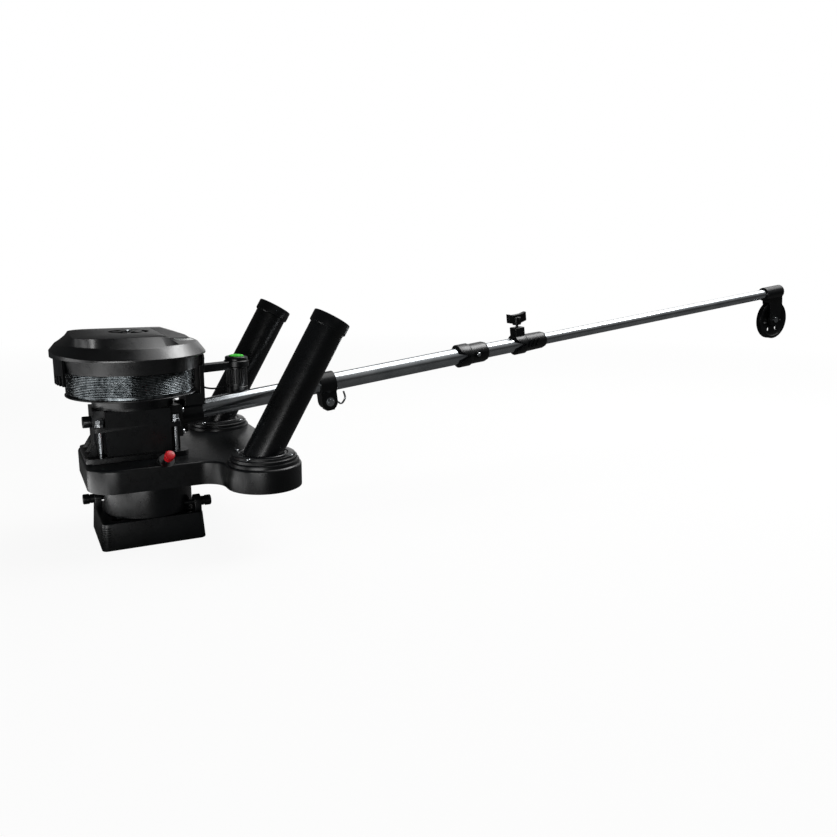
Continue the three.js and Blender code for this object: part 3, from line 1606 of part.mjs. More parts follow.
piece(downrigger, 'deck_bracket', deckBracket(), blackNylon);
piece(downrigger, 'swivel_base', swivelBase(), blackNylon);
piece(downrigger, 'swivel_bolt', swivelBolt(), zincSteel);
piece(downrigger, 'latch_pin_right', latchPin(rightEarOuter).translate(0, -latchY, latchZ), blackNylon);
piece(downrigger, 'latch_pin_left', latchPin(leftEarOuter).rotateZ(Math.PI).translate(0, latchY, latchZ), blackNylon);

piece(turret, 'base_plate', basePlate(), blackNylon);
piece(turret, 'swivel_nut', swivelNut(), zincSteel);
piece(turret, 'plunger_housing', plungerHousing(), blackNylon);
piece(turret, 'plunger_pin', plungerPin(), zincSteel);
piece(turret, 'plunger_spring', plungerSpring(), stainless);
piece(turret, 'pull_knob', pullKnob(), redPlastic);

piece(turret, 'reel_frame', reelFrame(), blackNylon);
tieBoltPlaces().forEach(([x, y], i) => {
  piece(turret, `tie_bolt_${i + 1}`, tieBolt().translate(x, y, 0), stainless);
});
piece(turret, 'motor_can', motorCan(), zincSteel);
piece(turret, 'motor_end_cap', motorEndCap(), blackNylon);
piece(turret, 'motor_pinion', motorPinion(), zincSteel);
piece(turret, 'gear_case', gearCase(), blackNylon);
piece(turret, 'drive_gear', driveGear(), brass);
piece(turret, 'lower_bearing', bearing(frameTop - frameDeck, frameTop), zincSteel);
piece(turret, 'upper_bearing', bearing(caseTop - caseTopWall, caseTop), zincSteel);

piece(turret, 'spool', spool(), blackNylon);
piece(turret, 'spool_shaft', spoolShaft(), zincSteel);
piece(turret, 'line_core', lineCore(), lineSteel);
piece(turret, 'line_wound', sweptTube(woundLine, lineDiameter / 2, lineSides), lineSteel);
piece(turret, 'brake_disc', brakeDisc(), corkBrown);
piece(turret, 'clutch_knob', clutchKnob(), blackNylon);

piece(turret, 'top_cover', topCover(), blackNylon);
piece(turret, 'counter_window', counterWindow(), clearPane);
piece(turret, 'counter_cradle', counterCradle(), blackNylon);
['number_wheel_units', 'number_wheel_tens', 'number_wheel_hundreds'].forEach((name, place) => {
  piece(turret, name, numberWheel(place), whiteAcetal);
});
piece(turret, 'spool_guard', spoolGuard(), blackNylon);
piece(turret, 'cover_post', coverPost(), blackNylon);
piece(turret, 'power_inlet', powerInlet(), blackNylon);
piece(turret, 'boom_socket', boomSocket(), blackNylon);

piece(turret, 'switch_pod', switchPod(), blackNylon);
piece(turret, 'pod_bezel', podBezel(), blackNylon);
piece(turret, 'push_button', pushButton(), greenRubber);
piece(turret, 'switch_lead', switchLead(), blackRubber);

for (const [name, side] of [['near', -1], ['far', 1]]) {
  piece(turret, `rod_holder_${name}`, rodHolder(side), blackTube);
  piece(turret, `holder_ring_${name}`, holderRing(side), blackNylon);
}

piece(boom, 'boom_base_tube', baseTube(), stainless);
piece(boom, 'base_collar', baseCollar(), blackNylon);
piece(boom, 'lock_button', lockButton(), stainless);
piece(boom, 'hook_clamp', hookClamp(), blackNylon);
piece(boom, 'clamp_bolt', clampBolt(), stainless);
piece(boom, 'clamp_hook', clampHook(), stainless);
piece(boom, 'boom_mid_tube', tube(midTubeRadius, midTubeWall, midTubeStart, midTubeEnd), stainless);
piece(boom, 'tip_collar', tipCollar(), blackNylon);
piece(boom, 't_knob', tKnob(), blackNylon);
piece(boom, 'boom_tip_tube', tube(tipTubeRadius, tipTubeWall, tipTubeStart, tipTubeEnd), stainless);
piece(boom, 'tip_bracket', tipBracket(), blackNylon);
piece(boom, 'sheave_axle', sheaveAxle(), stainless);
piece(boom, 'sheave', sheave(), blackNylon);

export default downrigger;
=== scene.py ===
from math import atan2, cos, hypot, pi, radians, sin

import bmesh
import bpy
from mathutils import Matrix, Vector


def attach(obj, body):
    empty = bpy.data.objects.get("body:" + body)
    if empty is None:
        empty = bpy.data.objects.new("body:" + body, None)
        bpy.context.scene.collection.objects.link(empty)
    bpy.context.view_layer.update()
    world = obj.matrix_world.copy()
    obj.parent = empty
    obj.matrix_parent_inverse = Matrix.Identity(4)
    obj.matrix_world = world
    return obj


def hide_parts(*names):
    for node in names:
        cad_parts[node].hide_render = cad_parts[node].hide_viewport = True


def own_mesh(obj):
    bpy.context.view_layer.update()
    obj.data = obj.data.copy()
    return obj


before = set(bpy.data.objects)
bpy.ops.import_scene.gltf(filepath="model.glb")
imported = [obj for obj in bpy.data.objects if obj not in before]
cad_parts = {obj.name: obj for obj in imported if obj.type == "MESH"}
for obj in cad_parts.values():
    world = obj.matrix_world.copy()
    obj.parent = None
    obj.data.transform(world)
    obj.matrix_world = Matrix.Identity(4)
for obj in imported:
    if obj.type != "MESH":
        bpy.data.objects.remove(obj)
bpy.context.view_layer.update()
print("frame loaded:", len(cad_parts), "nodes")

mm = 0.001
boomRise = radians(7.16)
spoolX = -15
boomFrame = Matrix.Translation((155, 0, 210.4)) @ Matrix.Rotation(-boomRise, 4, "Y")
alongX = Matrix.Rotation(pi / 2, 4, "Y")  # turns a shape made about Z to lie along X
alongY = Matrix.Rotation(-pi / 2, 4, "X")
raised = Matrix.Rotation(pi / 2, 4, "X")  # stands an outline up, so that its y points upwards


def linearColour(hexValue):
    channels = [(hexValue >> shift & 255) / 255 for shift in (16, 8, 0)]
    return [c / 12.92 if c <= 0.04045 else ((c + 0.055) / 1.055) ** 2.4 for c in channels] + [1.0]


def addNode(tree, kind, sockets=None, links=None, **settings):
    node = tree.nodes.new("ShaderNode" + kind)
    for name, value in settings.items():
        setattr(node, name, value)
    for key, value in (sockets or {}).items():
        node.inputs[key].default_value = value
    for key, source in (links or {}).items():
        tree.links.new(source, node.inputs[key])
    return node


def newMaterial(name):
    material = bpy.data.materials.new(name)
    material.use_nodes = True
    tree = material.node_tree
    return material, tree, tree.nodes["Principled BSDF"]


def dressShader(tree, shader, look, tone, wear, relief, depth):
    # tone drives the colour, wear the roughness and relief the bump
    ramp = addNode(tree, "ValToRGB", links={"Fac": tone.outputs["Fac"]})
    for element, position, key in zip(ramp.color_ramp.elements, (0.35, 0.65), ("colour", "pale")):
        element.position = position
        element.color = linearColour(look[key])
    low, high = look["roughness"] - look["swing"], look["roughness"] + look["swing"]
    rough = addNode(tree, "MapRange", {1: 0.3, 2: 0.7, 3: low, 4: high}, {0: wear.outputs["Fac"]})
    bump = addNode(tree, "Bump", {"Strength": look["bump"], "Distance": depth},
                   {"Height": relief.outputs["Fac"]})
    for key, source in (("Base Color", ramp.outputs["Color"]), ("Roughness", rough.outputs[0]),
                        ("Normal", bump.outputs["Normal"])):
        tree.links.new(source, shader.inputs[key])


def mouldedNylon(name, look):
    material, tree, shader = newMaterial(name)
    place = addNode(tree, "TexCoord").outputs["Object"]
    # the mould's spark-eroded grain is under a millimetre, drawn coarser so that it shows
    grain, cloud, scuff = [
        addNode(tree, "TexNoise",
                {"Scale": 1 / (look[key] * mm), "Detail": detail, "Roughness": rough}, {"Vector": place})
        for key, detail, rough in (("grain", 3, 0.5), ("cloud", 4, 0.5), ("scuff", 6, 0.7))]
    dressShader(tree, shader, look, cloud, scuff, grain, 0.0002)
    shader.inputs["IOR"].default_value = 1.5
    shader.inputs["Specular IOR Level"].default_value = look["gloss"]
    return material


def polishedSteel(name, look):
    material, tree, shader = newMaterial(name)
    place = addNode(tree, "TexCoord").outputs["Object"]
    along = addNode(tree, "Mapping", {"Rotation": (0, boomRise, 0), "Scale": look["stretch"]},
                    {"Vector": place})
    # polishing lines run along the tube, a few tenths of a millimetre apart, drawn coarser to show
    lines = addNode(tree, "TexNoise", {"Scale": 1 / (look["line"] * mm), "Detail": 3},
                    {"Vector": along.outputs["Vector"]})
    smudge = addNode(tree, "TexNoise", {"Scale": 1 / (look["smudge"] * mm), "Detail": 4},
                     {"Vector": place})
    dressShader(tree, shader, look, smudge, lines, lines, 0.0001)
    shader.inputs["Metallic"].default_value = 1
    return material


# grain, cloud, scuff, line and smudge are the patterns' sizes in millimetres
blackNylon = {"colour": 0x070809, "pale": 0x0e1012, "grain": 1.6, "cloud": 60, "scuff": 9,
              "roughness": 0.31, "swing": 0.05, "bump": 0.3, "gloss": 0.44}
steelLook = {"colour": 0xc4c9cd, "pale": 0xdfe3e6, "stretch": (0.03, 1, 1), "line": 0.9,
             "smudge": 35, "roughness": 0.17, "swing": 0.05, "bump": 0.06}
turnedLook = dict(steelLook, stretch=(1, 1, 1))

mouldedBlack = mouldedNylon("moulded glass-filled nylon", blackNylon)  # satin, deep black
# the cover's finer mould gives it a brighter sheen at its bevels
coverBlack = mouldedNylon("satin moulded cover nylon", dict(blackNylon, gloss=0.95))
# smooth from the die, with a long clean highlight
blackTube = mouldedNylon("extruded black tube", dict(blackNylon, roughness=0.28, grain=2.5, bump=0.1))
# dull, with no clear highlight
blackRubber = mouldedNylon("black rubber sleeve", dict(blackNylon, roughness=0.6, bump=0.2, gloss=0.3))
inkBlack = mouldedNylon("black digit ink", dict(blackNylon, roughness=0.5, bump=0.02))  # flat, matt
# bright, even red with a soft shine
redNylon = mouldedNylon("red moulded nylon", dict(
    blackNylon, colour=0xb80f18, pale=0xd6202a, grain=1.8, cloud=12, scuff=4, roughness=0.34,
    bump=0.12, gloss=0.5))
# vivid and matt, as pressed silicone is
greenRubber = mouldedNylon("green silicone rubber", dict(
    blackNylon, colour=0x2fc22a, pale=0x55dc48, grain=1.2, cloud=9, scuff=4, roughness=0.55,
    bump=0.2, gloss=0.4))
# a clean, slightly warm white
whiteAcetal = mouldedNylon("white acetal", dict(
    blackNylon, colour=0xe6e6e0, pale=0xf0f0ec, grain=1.2, cloud=9, scuff=5, roughness=0.42,
    bump=0.05, gloss=0.4))
# brown, coarse and without shine
cork = mouldedNylon("pressed brake lining", dict(
    blackNylon, colour=0x5b4330, pale=0x7a5c42, grain=1.5, cloud=4, scuff=3, roughness=0.8,
    swing=0.08, bump=0.6, gloss=0.2))
# long streaked reflections along the tubes
polishedStainless = polishedSteel("polished stainless steel", steelLook)
# softer reflections that go round, as a lathe leaves them
wheelSteel = polishedSteel("turned stainless steel", dict(turnedLook, line=1.2, roughness=0.22))
# grey and cloudy, as a plated part
zincSteel = polishedSteel("zinc-plated steel", dict(turnedLook, colour=0xa3a7a8, pale=0xbabdbd, line=2,
                                                    roughness=0.36, swing=0.08))
# warm yellow metal with a dulled shine
brass = polishedSteel("machined brass", dict(turnedLook, colour=0xa98845, pale=0xc2a25c, line=1,
                                             roughness=0.3))
# dark grey with sparkling wires
cableSteel = polishedSteel("stranded stainless cable", dict(
    steelLook, colour=0x4c5255, pale=0x92989b, stretch=(0.12, 0.12, 1), line=1.3, smudge=6,
    roughness=0.22, swing=0.1, bump=0.4))

pane = {"colour": 0xf3f7f6, "marks": 6, "clear": 0.05, "wiped": 0.16, "through": 0.75, "ior": 1.58}


def clearPlastic(name, look):
    material, tree, shader = newMaterial(name)
    place = addNode(tree, "TexCoord").outputs["Object"]
    marks = addNode(tree, "TexNoise", {"Scale": 1 / (look["marks"] * mm), "Detail": 4},
                    {"Vector": place})
    rough = addNode(tree, "MapRange", {1: 0.3, 2: 0.7, 3: look["clear"], 4: look["wiped"]},
                    {0: marks.outputs["Fac"]})
    tree.links.new(rough.outputs[0], shader.inputs["Roughness"])
    shader.inputs["Base Color"].default_value = linearColour(look["colour"])
    shader.inputs["Transmission Weight"].default_value = look["through"]
    shader.inputs["IOR"].default_value = look["ior"]
    return material


clearPane = clearPlastic("clear polycarbonate", pane)  # a faint haze, with wiping marks
print("materials made")


# shapes are made in millimetres: a lathe takes pairs of radius and height, a rod its radius, start,
# end and number of sides, and a block its span along x, y and z
def lathe(profile, steps=96):
    bm = bmesh.new()
    verts = [bm.verts.new((radius, 0, height)) for radius, height in profile]
    edges = [bm.edges.new(pair) for pair in zip(verts, verts[1:])]
    if profile[0][0] > 0:
        edges.append(bm.edges.new((verts[-1], verts[0])))
    bmesh.ops.spin(bm, geom=verts + edges, cent=(0, 0, 0), axis=(0, 0, 1), angle=2 * pi,
                   steps=steps, use_merge=True)
    bmesh.ops.remove_doubles(bm, verts=bm.verts, dist=0.001)
    bmesh.ops.recalc_face_normals(bm, faces=bm.faces)
    return bm


def block(xs, ys, zs, edge=0.0):
    bm = bmesh.new()
    bmesh.ops.create_cube(bm, size=1)
    spans = (xs, ys, zs)
    bmesh.ops.scale(bm, vec=[high - low for low, high in spans], verts=bm.verts)
    bmesh.ops.translate(bm, vec=[(low + high) / 2 for low, high in spans], verts=bm.verts)
    return softened(bm, edge)


def rod(radius, start, end, sides=48, edge=0.0):
    bm = bmesh.new()
    bmesh.ops.create_cone(bm, cap_ends=True, segments=sides, radius1=radius, radius2=radius,
                          depth=end - start)
    bmesh.ops.translate(bm, vec=(0, 0, (start + end) / 2), verts=bm.verts)
    return softened(bm, edge)


def softened(bm, width):
    if width > 0:
        sharp = [e for e in bm.edges
                 if len(e.link_faces) == 2 and e.calc_face_angle() > radians(40)]
        bmesh.ops.bevel(bm, geom=sharp, offset=width, segments=3, profile=0.5, affect="EDGES",
                        material=-1, clamp_overlap=True)
    return bm


def slab(corners, start, end, rounding=None, edge=0.0, segments=8):
    # a flat outline with rounded corners, given as x, y pairs, pulled up from start to end
    bm = bmesh.new()
    verts = [bm.verts.new((x, y, start)) for x, y in corners]
    bm.faces.new(verts)
    for vert, radius in zip(verts, rounding or []):
        if radius > 0:
            bmesh.ops.bevel(bm, geom=[vert], offset=radius, segments=segments, profile=0.5,
                            affect="VERTICES", material=-1)
    bmesh.ops.remove_doubles(bm, verts=bm.verts, dist=0.01)
    pulled = bmesh.ops.extrude_face_region(bm, geom=bm.faces[:])
    top = [item for item in pulled["geom"] if isinstance(item, bmesh.types.BMVert)]
    bmesh.ops.translate(bm, vec=(0, 0, end - start), verts=top)
    bmesh.ops.recalc_face_normals(bm, faces=bm.faces)
    return softened(bm, edge)


def moved(bm, *matrices):
    for matrix in matrices:
        bmesh.ops.transform(bm, matrix=matrix, verts=bm.verts)
    return bm


def shift(x=0, y=0, z=0):
    return Matrix.Translation((x, y, z))


def turned(angle):
    return Matrix.Rotation(angle, 4, "Z")


def merged(*shapes):
    whole = bmesh.new()
    for shape in shapes:
        part = bpy.data.meshes.new("part")
        shape.to_mesh(part)
        shape.free()
        whole.from_mesh(part)
        bpy.data.meshes.remove(part)
    return whole


def linked(name, data):
    obj = bpy.data.objects.new(name, data)
    bpy.context.scene.collection.objects.link(obj)
    return obj


def evaluated(obj):
    # the object's mesh with its modifiers applied, or a text's mesh
    bpy.context.view_layer.update()
    graph = bpy.context.evaluated_depsgraph_get()
    return bpy.data.meshes.new_from_object(obj.evaluated_get(graph))


def toObject(name, bm, material, angle=35):
    # in metres, and smooth except where faces meet at more than the angle
    bmesh.ops.scale(bm, vec=(mm, mm, mm), verts=bm.verts)
    mesh = bpy.data.meshes.new(name)
    bm.to_mesh(mesh)
    bm.free()
    mesh.materials.append(material)
    for face in mesh.polygons:
        face.use_smooth = True
    mesh.set_sharp_from_angle(angle=radians(angle))
    return linked(name, mesh)


def fromMesh(mesh, gap):
    # back in millimetres, with the points joined that lie closer than the gap
    bm = bmesh.new()
    bm.from_mesh(mesh)
    bmesh.ops.scale(bm, vec=(1 / mm, 1 / mm, 1 / mm), verts=bm.verts)
    bmesh.ops.remove_doubles(bm, verts=bm.verts, dist=gap)
    return bm


def carved(bm, tools, operation="DIFFERENCE"):
    # cuts the shape by each tool in turn, or joins them to it
    base = toObject("carvedBase", bm, mouldedBlack)
    for tool in tools:
        cutter = toObject("carvedTool", tool, mouldedBlack)
        step = base.modifiers.new("cut", "BOOLEAN")
        step.operation = operation
        step.solver = "EXACT"
        step.object = cutter
        result = evaluated(base)
        base.modifiers.clear()
        base.data = result
        bpy.data.objects.remove(cutter)
    out = fromMesh(base.data, 0.001)
    bpy.data.objects.remove(base)
    return out


def finished(obj, body, slot, *nodes):
    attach(obj, body)
    if nodes:
        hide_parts(*nodes)
    return obj


def moulding(name, bm, body, node, angle=35):
    return finished(toObject(name, bm, mouldedBlack, angle), body, "black_nylon", node)


def roundedEdges(obj, width, angle, miter="MITER_SHARP"):
    edges = obj.modifiers.new("edges", "BEVEL")
    edges.width = width * mm
    edges.segments = 3
    edges.limit_method = "ANGLE"
    edges.angle_limit = radians(angle)
    edges.miter_outer = miter
    edges.harden_normals = True
    return obj


def refined(node, body, width, material=mouldedBlack, slot="black_nylon", angle=30):
    # the CAD node itself, with its flat facets joined and its edges rounded as a mould leaves them
    bm = fromMesh(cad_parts[node].data, 0.002)
    bmesh.ops.dissolve_limit(bm, angle_limit=radians(1), verts=bm.verts, edges=bm.edges)
    obj = toObject(node + "Dressed", bm, material, angle)
    return finished(roundedEdges(obj, width, angle, "MITER_ARC"), body, slot, node)


# the camera stands where the photograph was taken from
cameraLook = {"place": (-191.3, -1321.4, 458.6), "yaw": 27.883, "pitch": 11.718, "roll": 0.551,
              "lens": 33.84, "sensor": 36, "near": 0.05}


def makeCamera(look):
    yaw, pitch, roll = (radians(look[key]) for key in ("yaw", "pitch", "roll"))
    ahead = Vector((sin(yaw) * cos(pitch), cos(yaw) * cos(pitch), -sin(pitch)))
    level = Vector((cos(yaw), -sin(yaw), 0))
    above = level.cross(ahead)
    right = cos(roll) * level + sin(roll) * above
    up = cos(roll) * above - sin(roll) * level
    data = bpy.data.cameras.new("camera")
    data.lens = look["lens"]
    data.sensor_width = look["sensor"]
    data.clip_start = look["near"]
    camera = linked("camera", data)
    facing = Matrix((right, up, -ahead)).transposed().to_4x4()
    camera.matrix_world = Matrix.Translation(Vector(look["place"]) * mm) @ facing
    bpy.context.scene.camera = camera


makeCamera(cameraLook)

# deck bracket: a draughted box, open inside, with an ear at each side for the latch pins
bracket = {
    "middleX": -3, "halfX": 80.5, "halfY": 70.5, "height": 44, "draft": 3, "corner": 9,
    "edge": 1.6, "wall": 6, "floor": 8, "deck": 6, "socket": 44.3, "socketZ": (30, 60),
    "holeX": 56, "holeY": 49, "hole": (4.2, -2, 12, 32), "access": (9, 36, 50, 40),
    "pinY": 45, "pinZ": 56, "pinHole": (4.5, 50, 90, 32), "earHalf": 12, "ear": 11,
    "earFoot": 41, "earEdge": 0.8, "rightEar": 74.5, "leftEar": 80.5,
    "turretRoom": (69.6, 44.1, 80, 96),
    "ridges": 9, "ridgeZ": 7, "ridgePitch": 3.6, "ridgeHigh": 1.6, "ridgeOut": 0.7, "ridgeDeep": 2}


def roundedBox(halfX, halfY, corner, start, end, edge=0.0, draft=0.0):
    corners = [(halfX, -halfY), (halfX, halfY), (-halfX, halfY), (-halfX, -halfY)]
    bm = slab(corners, start, end, [corner] * 4)
    top = [vert for vert in bm.verts if vert.co.z > (start + end) / 2]
    bmesh.ops.scale(bm, vec=((halfX - draft) / halfX, (halfY - draft) / halfY, 1), verts=top)
    return softened(bm, edge)


def makeEar(look, outer, turn):
    half, edge, inner = look["earHalf"], look["earEdge"], outer - look["ear"]
    post = block((inner, outer), (-half, half), (look["earFoot"], look["pinZ"]), edge)
    crown = moved(rod(half, inner, outer, 48, edge), alongX, shift(z=look["pinZ"]))
    ear = moved(carved(post, [crown], "UNION"), shift(y=-look["pinY"]))
    hole = moved(rod(*look["pinHole"]), alongX, shift(0, -look["pinY"], look["pinZ"]))
    return moved(carved(ear, [hole, rod(*look["turretRoom"])]), turned(turn))


def makeBracket(look):
    inset = look["draft"] + look["wall"]
    middle, socket = shift(look["middleX"]), (-look["socket"], look["socket"])
    body = roundedBox(look["halfX"], look["halfY"], look["corner"], 0, look["height"], look["edge"],
                      look["draft"])
    hollow = roundedBox(look["halfX"] - inset, look["halfY"] - inset, look["corner"], look["floor"],
                        look["height"] - look["deck"])
    tools = [moved(hollow, middle), block(socket, socket, look["socketZ"])]
    for x in (-look["holeX"], look["holeX"]):
        for y in (-look["holeY"], look["holeY"]):
            tools += [moved(rod(*look[key]), shift(x, y)) for key in ("hole", "access")]
    body = carved(moved(body, middle), tools)
    ears = [makeEar(look, look["rightEar"], 0), makeEar(look, look["leftEar"], pi)]
    # ridges moulded across the front left corner
    ridges = []
    cornerX = look["middleX"] - look["halfX"] + look["corner"]
    cornerY = look["corner"] - look["halfY"]
    outer = look["corner"] + look["ridgeOut"]
    inner = outer - look["ridgeDeep"]
    for i in range(look["ridges"]):
        z = look["ridgeZ"] + i * look["ridgePitch"]
        top = z + look["ridgeHigh"]
        lean = look["draft"] * z / look["height"]
        ridge = lathe([(inner, z), (outer, z), (outer, top), (inner, top)], 32)
        ridges.append(moved(ridge, shift(cornerX + lean, cornerY + lean)))
    moulding("deckBracketMoulding", merged(body, *ears, *ridges), "mount", "deck_bracket")


swivel = {
    "body": [(0, 33), (22, 33), (22, 44.3), (68, 44.3), (69, 45.3), (69, 88), (66, 100.9),
             (68.44, 101.4), (50, 125), (0, 125)],
    "spigot": 44, "spigotZ": (22, 44.2), "spigotEdge": 0.8, "bore": (8.3, 0, 140, 48),
    "boltRoom": (15, 0, 44, 48), "sockets": 8, "socket": (4.5, -74, -60, 32),
    "pinHole": (4.5, 44, 75, 32)}
plunger = {"reach": 112.5, "z": 154.3, "turn": radians(-80.5), "lift": radians(38)}


def onPlunger(look, turn=None):
    # shapes made about Z, with zero at the pull knob, are laid on the plunger's slanted line
    lean = Matrix.Rotation(pi / 2 - look["lift"], 4, "Y")
    return turned(look["turn"] if turn is None else turn) @ shift(look["reach"], 0, look["z"]) @ lean


def makeSwivel(look):
    side = (-look["spigot"], look["spigot"])
    spigot = block(side, side, look["spigotZ"], look["spigotEdge"])
    tools = [rod(*look["bore"]), rod(*look["boltRoom"])]
    for i in range(look["sockets"]):
        spin = plunger["turn"] + 2 * pi * i / look["sockets"]
        tools.append(moved(rod(*look["socket"]), onPlunger(plunger, spin)))
    for turn in (0, pi):
        hole = moved(rod(*look["pinHole"]), alongX, shift(0, -bracket["pinY"], bracket["pinZ"]))
        tools.append(moved(hole, turned(turn)))
    whole = carved(lathe(look["body"], 128), [spigot], "UNION")
    moulding("swivelBaseTurned", carved(whole, tools), "mount", "swivel_base")


# heights of the knob are counted from its inner face, a gap off the ear
latch = {
    "pin": 4, "inner": 44.4, "gap": 0.3,
    "knob": [(4, 0), (7.6, 0), (7.6, 4.9), (7, 5.6), (7, 6.2), (8.5, 7.4), (8.5, 15.8),
             (7.3, 17), (0, 17)]}


def makeLatches(look):
    for name, turn, ear in (("Right", 0, "rightEar"), ("Left", pi, "leftEar")):
        start = bracket[ear] + look["gap"]
        profile = [(0, look["inner"]), (look["pin"], look["inner"])]
        profile += [(radius, start + height) for radius, height in look["knob"]]
        place = turned(turn) @ shift(0, -bracket["pinY"], bracket["pinZ"]) @ alongX
        side = "latch_" + name.lower()
        moulding("latchPin" + name, moved(lathe(profile, 64), place), side,
                 "latch_pin_" + name.lower())


makeBracket(bracket)
makeSwivel(swivel)
makeLatches(latch)
print("bracket, swivel base and latch pins made")

# base plate: ribbed below, with two lobes that carry the rod holders
plate = {
    "bottom": 101.4, "top": 138.7, "left": -98, "stem": 107, "lobeX": 155, "lobeY": 147,
    "lobe": 58.95, "fillet": 33, "corner": 45, "wall": 6.5, "skin": 6, "shoulder": 4.2,
    "hub": (40, 101.4, 132.8, 64), "ribHalf": 2, "ribFrom": -93, "ribFoot": 104.4,
    "ribY": (-56, 56), "ribYTop": 133, "ribX": (96, 155), "ribXTop": 133.2,
    "crownRoom": [(0, 95), (69.5, 95), (69.5, 107.4), (63, 125.3), (0, 125.3)],
    "boss": [(0, 132), (55.5, 132), (55.5, 142.2), (54.8, 143.8), (53.2, 144.5), (0, 144.5)],
    "post": (14, 104.4, 134, 48), "seat": (13, -60, -20, 64, 0.6),
    "seatRoom": ((-150, 150), (-150, 150), (100, 132.7)), "bore": (8.5, 95, 145, 48),
    "pinBore": (8.8, -67, 90, 48), "housingBore": (12.3, -20, 90, 64)}


def plateOutline(look, inset, start, end):
    left, right = look["left"] + inset, look["lobeX"] + look["lobe"] - inset
    inner = look["lobeX"] - look["lobe"] + inset
    stem, far = look["stem"] - inset, look["lobeY"] + look["lobe"] - inset
    corners = [(left, -stem), (inner, -stem), (inner, -far), (right, -far), (right, far),
               (inner, far), (inner, stem), (left, stem)]
    corner, fillet = look["corner"] - inset, look["fillet"] + inset
    lobe = look["lobe"] - inset - 0.02  # just less, so that neighbouring roundings don't meet
    return slab(corners, start, end, [corner, fillet, lobe, lobe, lobe, lobe, fillet, corner], 0, 20)


def makePlate(look):
    body = plateOutline(look, 0, look["bottom"], look["top"])
    rim = [e for e in body.edges if all(abs(vert.co.z - look["top"]) < 0.01 for vert in e.verts)]
    bmesh.ops.bevel(body, geom=rim, offset=look["shoulder"], segments=5, profile=0.5, affect="EDGES",
                    material=-1)
    hollow = plateOutline(look, look["wall"], look["bottom"] - 5, look["top"] - look["skin"])
    half, foot = look["ribHalf"], look["ribFoot"]
    parts = [rod(*look["hub"])]
    parts += [block((look["ribFrom"], look["lobeX"]), (y - half, y + half), (foot, look["ribYTop"]))
              for y in look["ribY"]]
    parts += [block((x - half, x + half), (-look["stem"], look["stem"]), (foot, look["ribXTop"]))
              for x in look["ribX"]]
    parts = [carved(part, [lathe(look["crownRoom"])]) for part in parts]
    bosses = []
    for y in (-look["lobeY"], look["lobeY"]):
        bosses += [moved(shape, shift(look["lobeX"], y))
                   for shape in (lathe(look["boss"]), rod(*look["post"]))]
    seat = carved(moved(rod(*look["seat"]), onPlunger(plunger)), [block(*look["seatRoom"])])
    cut = []
    for part in (carved(body, [hollow]), seat, *parts):
        slanted = [moved(rod(*look[key]), onPlunger(plunger)) for key in ("pinBore", "housingBore")]
        cut.append(carved(part, [rod(*look["bore"]), *slanted]))
    moulding("basePlateMoulding", merged(*cut, *bosses), "turret", "base_plate", 30)


makePlate(plate)
print("base plate made")

# rod holders: a slanted tube on a round foot that a ring holds down
holder = {
    "x": 155, "y": 147, "tilt": radians(29.8), "ringTop": 153.4,
    "pipe": [(25.1, 6), (25.1, 237), (26.3, 238.5), (29.4, 239), (30.5, 238.5), (31, 237.4),
             (31, 221.2), (29.8, 220), (28.9, 220), (28.4, 219.4), (28.4, -20), (8, -20), (8, 6)],
    "below": ((-90, 90), (-60, 60), (60, 149.4)),
    "foot": [(0, 144.8), (43, 144.8), (43, 148.8), (37, 148.8), (37, 152.4), (36, 153.4),
             (0, 153.4)],
    "ring": [(43.5, 144.8), (52, 144.8), (52, 148.8), (51.2, 149.4), (49.4, 149.8),
             (48.6, 152.8), (47.6, 153.4), (38.4, 153.4), (37.5, 152.5), (37.5, 149.1),
             (43.5, 149.1)]}


def makeHolder(look, name, side):
    place = shift(look["x"], side * look["y"])
    pipe = moved(lathe(look["pipe"]), Matrix.Rotation(look["tilt"], 4, "Y"), shift(z=look["ringTop"]))
    shape = merged(carved(pipe, [block(*look["below"])]), lathe(look["foot"]))
    obj = toObject("rodHolder" + name, moved(shape, place), blackTube)
    finished(obj, "holder_" + name.lower(), "black_tube", "rod_holder_" + name.lower())
    moulding("holderRing" + name, moved(lathe(look["ring"]), place), "turret",
             "holder_ring_" + name.lower())


makeHolder(holder, "Near", -1)
makeHolder(holder, "Far", 1)
print("rod holders made")

# gear case and spool, turned about the spool's axis, with the line's outer layer as one strand
reel = {
    "case": [(57, 218), (61.5, 218), (62, 218.5), (62, 224.1), (66, 235.3), (66, 235.7),
             (65.4, 236.3), (11.3, 236.3), (11.3, 231.8), (57, 231.8)],
    "spool": [(6.3, 238.3), (99.5, 238.3), (100, 238.8), (100, 240.4), (99.5, 240.9), (58, 240.9),
              (58, 285.1), (99.5, 285.1), (100, 285.6), (100, 287.2), (99.5, 287.7), (53, 287.7),
              (53, 275.7), (6.3, 275.7)],
    "stored": [(58.3, 241.2), (95.6, 241.2), (95.6, 284.8), (58.3, 284.8)]}
line = {"radius": 97.5, "wire": 1.8, "bottom": 241.2, "top": 284.8, "turns": 15, "steps": 96,
        "bend": 1.2, "bendSteps": 6}


def makeReel(look):
    middle = shift(spoolX)
    moulding("gearCaseCast", moved(lathe(look["case"]), middle), "turret", "gear_case")
    moulding("spoolMoulding", moved(lathe(look["spool"], 128), middle), "spool", "spool")
    obj = toObject("lineStored", moved(lathe(look["stored"], 128), middle), cableSteel)
    finished(obj, "spool", "line_steel", "line_core")


